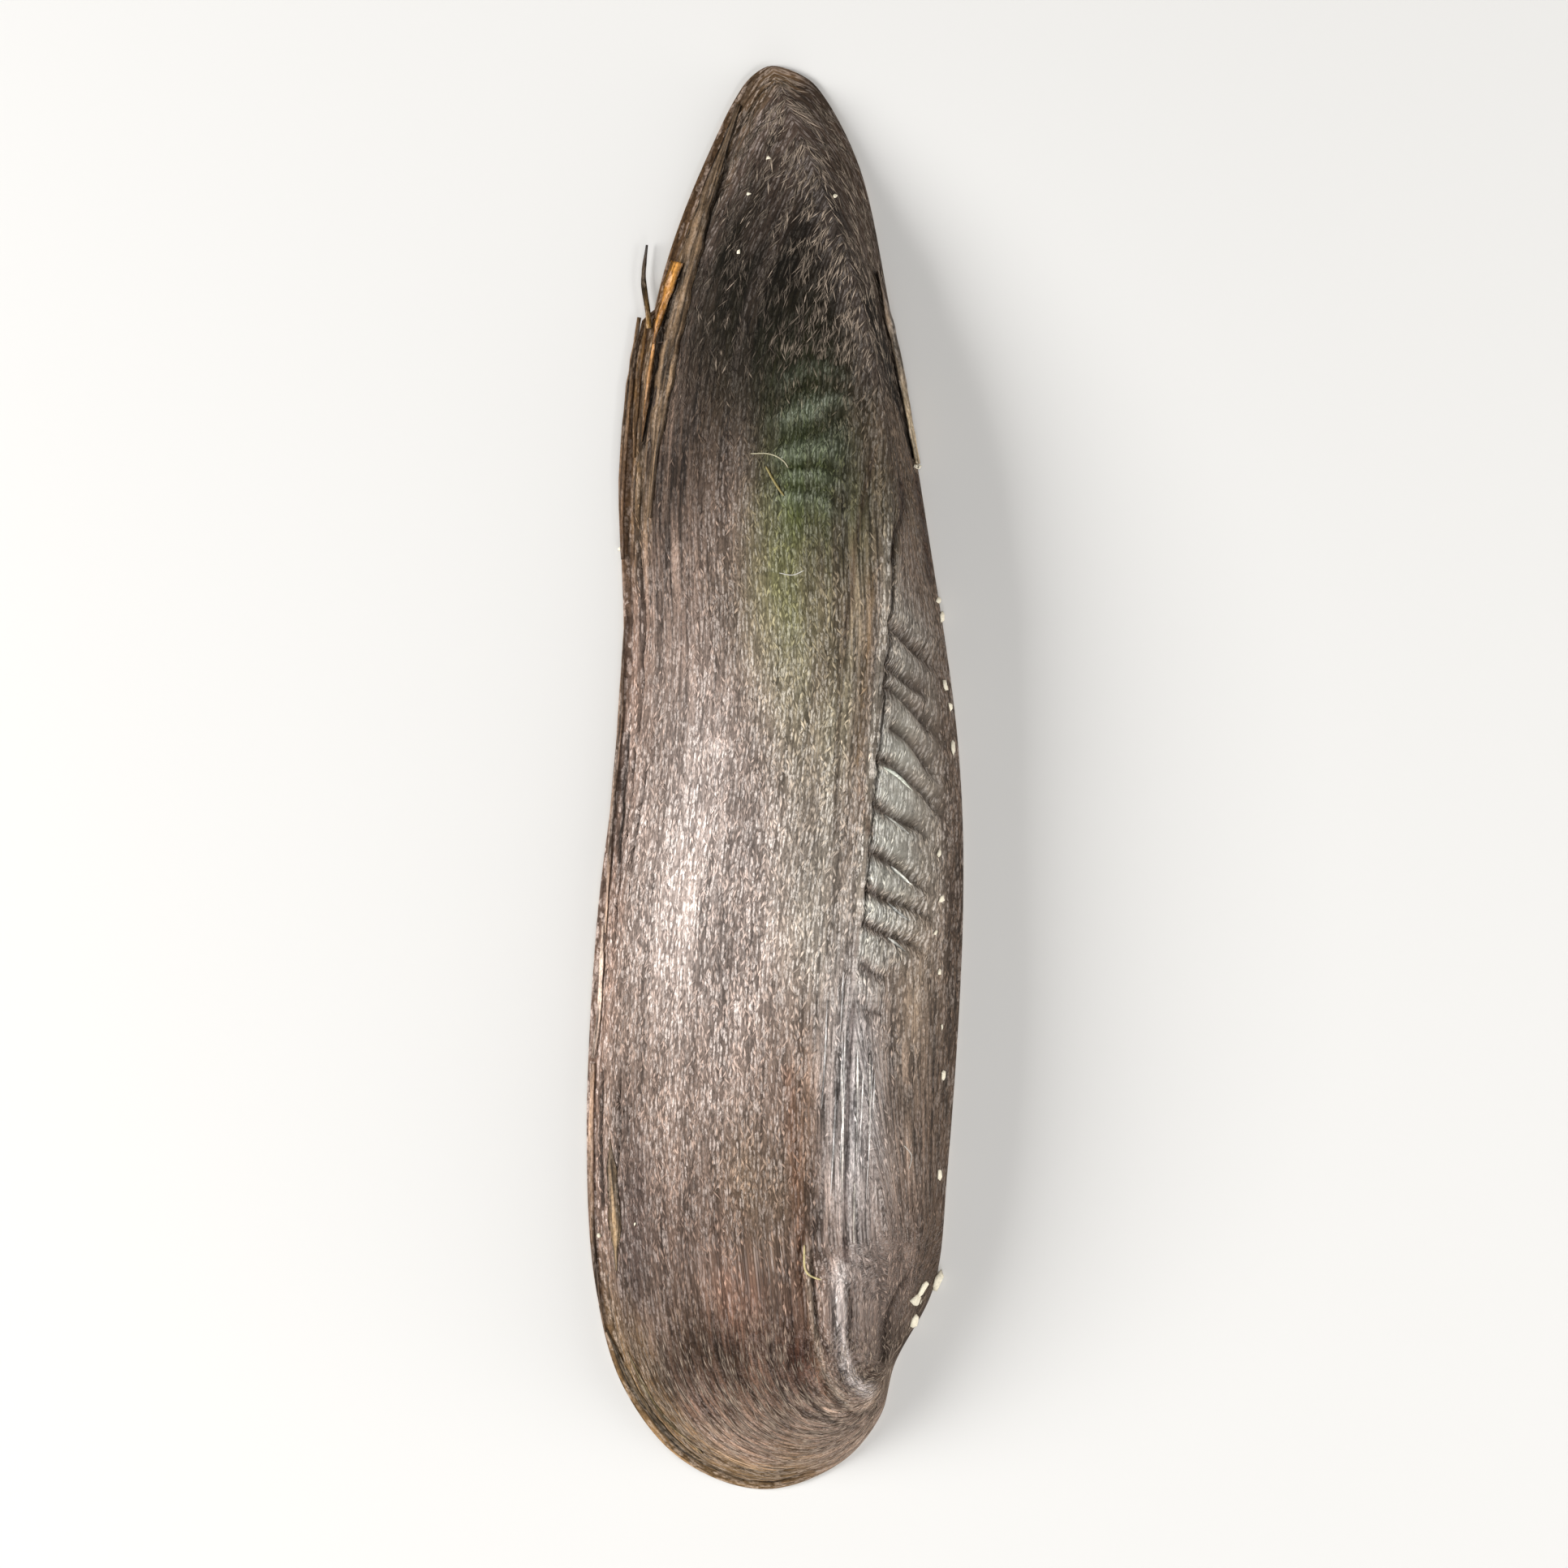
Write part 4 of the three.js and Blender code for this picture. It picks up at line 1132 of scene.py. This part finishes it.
# Fibres of lint caught on the back: path, radius and colour
FIBRES = [
    {"path": [(-2.2, 29.0), (-0.4, 28.9), (0.8, 28.2), (1.2, 27.6)],
     "radius": 0.06, "colour": (176, 168, 140)},
    {"path": [(-0.8, 27.8), (0.0, 26.3), (0.8, 25.1)], "radius": 0.1, "colour": (146, 132, 80)},
    {"path": [(2.6, -41.3), (2.7, -43.5), (3.2, -44.1), (4.1, -44.4)],
     "radius": 0.09, "colour": (206, 190, 138)},
    {"path": [(0.4, 18.2), (1.6, 18.0), (2.6, 18.4)], "radius": 0.04, "colour": (210, 206, 198)},
    {"path": [(11.5, -32.8), (12.2, -33.8), (12.0, -35.0)], "radius": 0.05, "colour": (206, 200, 190)},
    {"path": [(-10.7, 39.6), (-10.1, 39.7), (-9.5, 40.0)], "radius": 0.07, "colour": (70, 52, 38)},
]
FIBRE_SIDES = 6
FIBRE_SHEEN = 0.2
FIBRE_STEPS = 10


def fibre(back, thread):
    """One thin round fibre lying on the back."""
    line = catmull_rom(thread["path"], closed=False, per_span=FIBRE_STEPS)
    height = heights_on(back, line[None])[0] + thread["radius"]
    angle = np.arange(FIBRE_SIDES) * 2 * math.pi / FIBRE_SIDES
    radius = thread["radius"] * np.sqrt(np.clip(1 - np.linspace(-0.97, 0.97, len(line)) ** 8, 0, 1))
    flat = line[:, None] - sideways(line)[:, None] * (radius[:, None] * np.cos(angle))[..., None]
    rows = np.dstack([flat, height[:, None] + radius[:, None] * np.sin(angle)])
    points = rows.reshape(-1, 3)
    tint = np.tile(linear(thread["colour"]), (len(points), 1))
    return points, tube_faces(len(line), FIBRE_SIDES), tint, points


def build_specks(back, bare):
    chips = [chip(back, place, CHIP_SEED + i) for i, place in enumerate(CHIPS)]
    join("bare_chips", chips, bare, CHIP_SHEEN)
    join("lint_fibres", [fibre(back, thread) for thread in FIBRES], bare, FIBRE_SHEEN)


# Materials: skin and its flecks, then chalk, margin and pearl
SKIN_GLOSS = 0.09
SKIN_BUMP = 0.06
FINE_BUMP = 0.8
# Cells of each skin pattern in a millimetre, across and along the growth lines
FINE_GRAIN = (7.0, 2.6, 0.0)
FLECK_GRAIN = (4.2, 0.8, 0.0)
WARP_GRAIN = (1.7, 0.8, 0.0)
STREAK_GRAIN = (1.7, 0.07, 0.0)
SHORT_DASH_GRAIN = (4.6, 0.45, 0.0)
LONG_DASH_GRAIN = (3.4, 0.13, 0.0)
BAND_GRAIN = (0.8, 0.03, 0.0)
WARP_REACH = (1.0, 3.0, 0.0)
SATIN_SMOOTHING = 0.15
FLECK_GAIN = (2.9, 2.9, 2.9, 1.0)
FLECK_SATURATION = 0.65
GROUND_SATURATION = 1.1
# Lift of the pale flecks, partly the skin's own pale fibres and partly painted glints
FLECK_PALE_AND_GLINT_LIFT = (0.009, 0.008, 0.006, 1.0)
SMOOTH_SHADE = 0.75
CHALK_GRAIN = (6000.0, 6000.0, 6000.0)
CHALK_ROUGHNESS = 0.6
CHALK_BUMP = 0.03
MARGIN_GRAIN = (900.0, 400.0, 9000.0)
MARGIN_DARK_LAYER = (0.11, 0.068, 0.038, 1.0)
MARGIN_PALE_LAYER = (0.40, 0.30, 0.20, 1.0)
MARGIN_ROUGHNESS = 0.6
MARGIN_BUMP = 0.12
PEARL_CLOUDS = (70.0, 30.0, 70.0)
PEARL_LINES = (900.0, 60.0, 400.0)
PEARL_CREAM = (0.74, 0.70, 0.64, 1.0)
PEARL_BLUE = (0.66, 0.69, 0.72, 1.0)
PEARL_PINK = (0.80, 0.62, 0.62, 1.0)
PEARL_TURN = 0.35
PEARL_ROUGHNESS = 0.24
PEARL_COAT = 0.3
PEARL_BUMP = 0.03


class Shading:
    """A new material, with a short way to add each kind of node."""

    def __init__(self, name):
        self.material = bpy.data.materials.new(name)
        self.material.use_nodes = True
        self.tree = self.material.node_tree

    def fill(self, node, inputs):
        """Set each input to a plain value, or link it."""
        for name, value in inputs.items():
            if isinstance(value, (int, float, tuple)):
                node.inputs[name].default_value = value
            else:
                self.tree.links.new(value, node.inputs[name])

    def surface(self, inputs):
        self.fill(self.tree.nodes["Principled BSDF"], inputs)

    def add(self, kind, output, inputs, **settings):
        """One output of a new node."""
        node = self.tree.nodes.new("ShaderNode" + kind)
        for name, value in settings.items():
            setattr(node, name, value)
        self.fill(node, inputs)
        return node.outputs[output]

    def attribute(self, name, output):
        return self.add("Attribute", output, {}, attribute_name=name)

    def place(self):
        return self.add("TexCoord", "Object", {})

    def stretched(self, vector, scale):
        return self.add("Mapping", "Vector", {"Vector": vector, "Scale": scale})

    def noise(self, vector, scale, detail=2.0, roughness=0.55, output="Fac"):
        """Noise over a vector stretched by a scale for each axis."""
        inputs = {"Vector": self.stretched(vector, scale), "Scale": 1.0}
        return self.add("TexNoise", output, {**inputs, "Detail": detail, "Roughness": roughness})

    def cells(self, vector):
        """One random cell per unit: the distance to its middle, and its own random colour."""
        middle = self.add("TexVoronoi", "Distance", {"Vector": vector, "Scale": 1.0}, voronoi_dimensions="2D")
        return middle, middle.node.outputs["Color"]

    def ranged(self, value, low, high, to_low=0.0, to_high=1.0):
        limits = {"From Min": low, "From Max": high, "To Min": to_low, "To Max": to_high}
        return self.add("MapRange", "Result", {"Value": value, **limits})

    def calculated(self, operation, a, b):
        return self.add("Math", "Value", {0: a, 1: b}, operation=operation)

    def product(self, first, *others):
        for other in others:
            first = self.calculated("MULTIPLY", first, other)
        return first

    def vector_sum(self, a, b):
        return self.add("VectorMath", "Vector", {0: a, 1: b})

    def blended(self, factor, a, b):
        return self.add("Mix", "Result", {"Factor": factor, "A": a, "B": b})

    def coloured(self, kind, factor, a, b):
        """Two colours blended, by the numbers of the node's colour sockets."""
        return self.add("Mix", 2, {0: factor, 6: a, 7: b}, data_type="RGBA", blend_type=kind)

    def saturated(self, colour, saturation):
        return self.add("HueSaturation", "Color", {"Color": colour, "Saturation": saturation})

    def bump(self, height, distance):
        self.surface({"Normal": self.add("Bump", "Normal", {"Height": height, "Distance": distance * MM})})


def fleck_pattern(skin, grain, fine, streaky):
    """How much each place lies in a short pale fleck, partly a painted glint; fewer where the skin is streaky
    or smooth.
    """
    warp = skin.stretched(skin.noise(grain, WARP_GRAIN, detail=3.0, output="Color"), WARP_REACH)
    middle, own = skin.cells(skin.vector_sum(skin.stretched(grain, FLECK_GRAIN), warp))
    inside = skin.ranged(middle, 0.55, 0.27)
    chosen = skin.ranged(own, 0.26, 0.62)
    broken = skin.ranged(fine, 0.36, 0.58, 0.2, 1.0)
    calm = skin.ranged(skin.calculated("ABSOLUTE", streaky, 0.0), 0.0, 1.0, 1.0, 0.3)
    return skin.product(inside, chosen, broken, calm)


def growth_streaks(skin, grain, streaky):
    """Long lines along the growth lines, harder where the skin is streaky."""
    streak = skin.noise(grain, STREAK_GRAIN, detail=5.0, roughness=0.65)
    soft = skin.ranged(streak, 0.36, 0.64, 0.7, 1.2)
    hard = skin.ranged(streak, 0.38, 0.62, 0.45, 1.65)
    return skin.blended(streaky, soft, hard)


def growth_dashes(skin, grain, streaky):
    """Dashes along the growth lines, longer and harder where the skin is streaky."""
    short_dash = skin.noise(grain, SHORT_DASH_GRAIN, detail=3.0, roughness=0.6)
    long_dash = skin.noise(grain, LONG_DASH_GRAIN, detail=3.0, roughness=0.6)
    soft = skin.ranged(short_dash, 0.38, 0.62, 0.62, 1.2)
    hard = skin.ranged(long_dash, 0.4, 0.6, 0.4, 1.65)
    return skin.blended(streaky, soft, hard)


def ground_shade(skin, grain, fine, streaky, lines):
    """Light and dark of the skin between the flecks, evened out where it is smooth."""
    specks = skin.ranged(fine, 0.36, 0.6, 0.48, 0.95)
    bands = skin.ranged(skin.noise(grain, BAND_GRAIN), 0.35, 0.65, 0.75, 1.2)
    shade = skin.product(specks, lines, growth_dashes(skin, grain, streaky), bands)
    smooth = skin.ranged(streaky, 0.0, -1.0, 0.0, 0.65)
    return skin.blended(smooth, shade, SMOOTH_SHADE)


def skin_material():
    """Dry brown skin: short pale flecks along the growth lines, partly painted glints, dark between, satin
    where it is worn.
    """
    skin = Shading("dry_skin")
    tint = skin.attribute("tint", "Color")
    grain = skin.attribute("grain", "Vector")
    streaky = skin.add("SeparateXYZ", "Z", {"Vector": grain})
    fine = skin.noise(grain, FINE_GRAIN, detail=3.0, roughness=0.65)
    fleck = fleck_pattern(skin, grain, fine, streaky)
    lines = growth_streaks(skin, grain, streaky)
    shade = ground_shade(skin, grain, fine, streaky, lines)

    base = skin.coloured("MULTIPLY", 1.0, skin.saturated(tint, GROUND_SATURATION), shade)
    # Pale flecks: the skin's own pale fibres, brightened into painted glints
    pale = skin.coloured("MULTIPLY", 1.0, skin.saturated(tint, FLECK_SATURATION), FLECK_GAIN)
    pale = skin.coloured("ADD", 1.0, pale, FLECK_PALE_AND_GLINT_LIFT)
    rough = skin.ranged(fine, 0.3, 0.7, 0.66, 0.5)
    worn = skin.product(skin.attribute("satin", "Fac"), SATIN_SMOOTHING)
    skin.surface({
        "Base Color": skin.coloured("MIX", fleck, base, pale),
        "Specular IOR Level": SKIN_GLOSS,
        "Roughness": skin.calculated("SUBTRACT", rough, worn),
    })
    height = skin.calculated("ADD", fleck, skin.product(fine, FINE_BUMP))
    skin.bump(skin.calculated("ADD", height, lines), SKIN_BUMP)
    return skin.material


def scale_material():
    """Flakes of the same skin, plain but for their own tint."""
    flake = Shading("skin_scale")
    fine = flake.noise(flake.attribute("grain", "Vector"), FINE_GRAIN)
    shade = flake.ranged(fine, 0.3, 0.7, 0.7, 1.2)
    flake.surface({
        "Base Color": flake.coloured("MULTIPLY", 1.0, flake.attribute("tint", "Color"), shade),
        "Specular IOR Level": SKIN_GLOSS,
        "Roughness": flake.ranged(flake.attribute("satin", "Fac"), 0.0, 1.0, 0.55, 0.34),
    })
    return flake.material


def bare_material():
    """Chalky shell and lint."""
    bare = Shading("bare_shell")
    grains = bare.noise(bare.place(), CHALK_GRAIN, detail=3.0)
    shade = bare.ranged(grains, 0.3, 0.7, 0.75, 1.1)
    bare.surface({
        "Base Color": bare.coloured("MULTIPLY", 1.0, bare.attribute("tint", "Color"), shade),
        "Roughness": CHALK_ROUGHNESS,
    })
    bare.bump(grains, CHALK_BUMP)
    return bare.material


def margin_material():
    """Thin brown and pale layers at the edge of the shell."""
    margin = Shading("shell_margin")
    layers = margin.noise(margin.place(), MARGIN_GRAIN, detail=3.0)
    pale = margin.ranged(layers, 0.35, 0.65)
    margin.surface({
        "Base Color": margin.coloured("MIX", pale, MARGIN_DARK_LAYER, MARGIN_PALE_LAYER),
        "Roughness": MARGIN_ROUGHNESS,
    })
    margin.bump(layers, MARGIN_BUMP)
    return margin.material


def nacre_material():
    """Pearl lining: cream and blue clouds, pink where it is seen aslant."""
    pearl = Shading("pearl_lining")
    place = pearl.place()
    cloudy = pearl.ranged(pearl.noise(place, PEARL_CLOUDS, detail=4.0), 0.35, 0.65)
    clouds = pearl.coloured("MIX", cloudy, PEARL_CREAM, PEARL_BLUE)
    aslant = pearl.add("LayerWeight", "Facing", {"Blend": PEARL_TURN})
    pearl.surface({
        "Base Color": pearl.coloured("MIX", aslant, clouds, PEARL_PINK),
        "Roughness": PEARL_ROUGHNESS,
        "Coat Weight": PEARL_COAT,
    })
    pearl.bump(pearl.noise(place, PEARL_LINES), PEARL_BUMP)
    return pearl.material


# Stage: pale floor, soft light, and a camera straight above
FRAME_WIDTH = 143.36 * MM
FRAME_CENTRE = (0.816 * MM, -0.594 * MM)
CAMERA_HEIGHT = 0.35
SENSOR_WIDTH = 36.0
FLOOR_HALF = 3.0
FLOOR_DROP = 0.02 * MM
FLOOR_COLOUR = (0.72, 0.71, 0.69, 1.0)
FLOOR_ROUGHNESS = 0.8
# Softboxes, in metres and watts: name, place, size and power
SOFTBOXES = [
    ("key", (-0.55, 0.0, 0.32), (0.30, 0.30), 5.0),
    ("overhead", (0.05, 0.0, 0.8), (0.6, 0.6), 1.6),
    ("hinge_side", (0.5, -0.1, 0.22), (0.3, 0.4), 2.2),
    ("front", (0.1, -0.55, 0.3), (0.3, 0.3), 1.4),
]
ROOM_COLOUR = (1.0, 0.97, 0.93, 1.0)
ROOM_STRENGTH = 0.1


def build_floor():
    mesh = bpy.data.meshes.new("floor")
    signs = [(-1, -1), (1, -1), (1, 1), (-1, 1)]
    mesh.from_pydata([(a * FLOOR_HALF, b * FLOOR_HALF, 0) for a, b in signs], [], [(0, 1, 2, 3)])
    pale = Shading("pale_floor")
    pale.surface({"Base Color": FLOOR_COLOUR, "Roughness": FLOOR_ROUGHNESS})
    mesh.materials.append(pale.material)
    floor = bpy.data.objects.new("floor", mesh)
    floor.location.z = -FLOOR_DROP
    bpy.context.scene.collection.objects.link(floor)
    floor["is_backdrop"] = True


def add_softbox(name, place, size, power):
    light = bpy.data.lights.new(name, "AREA")
    light.shape = "RECTANGLE"
    light.size, light.size_y = size
    light.energy = power
    lamp = bpy.data.objects.new(name, light)
    lamp.location = place
    lamp.rotation_euler = (-Vector(place)).to_track_quat("-Z", "Y").to_euler()
    bpy.context.scene.collection.objects.link(lamp)


def build_light():
    for softbox in SOFTBOXES:
        add_softbox(*softbox)
    world = bpy.data.worlds.new("studio")
    world.use_nodes = True
    room = world.node_tree.nodes["Background"]
    room.inputs["Color"].default_value = ROOM_COLOUR
    room.inputs["Strength"].default_value = ROOM_STRENGTH
    bpy.context.scene.world = world


def build_camera():
    data = bpy.data.cameras.new("camera")
    data.sensor_width = SENSOR_WIDTH
    data.lens = SENSOR_WIDTH * CAMERA_HEIGHT / FRAME_WIDTH
    camera = bpy.data.objects.new("camera", data)
    camera.location = (*FRAME_CENTRE, CAMERA_HEIGHT)
    bpy.context.scene.collection.objects.link(camera)
    bpy.context.scene.camera = camera


dry_skin = skin_material()
shell_back = build_valve(dry_skin, margin_material(), nacre_material())
build_scales(shell_back, scale_material())
build_strips(shell_back, dry_skin)
build_specks(shell_back, bare_material())
build_floor()
build_light()
build_camera()
bpy.context.scene.view_settings.view_transform = "Standard"

{"cad": cad_box, "visual": [list(corner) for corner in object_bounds()]}
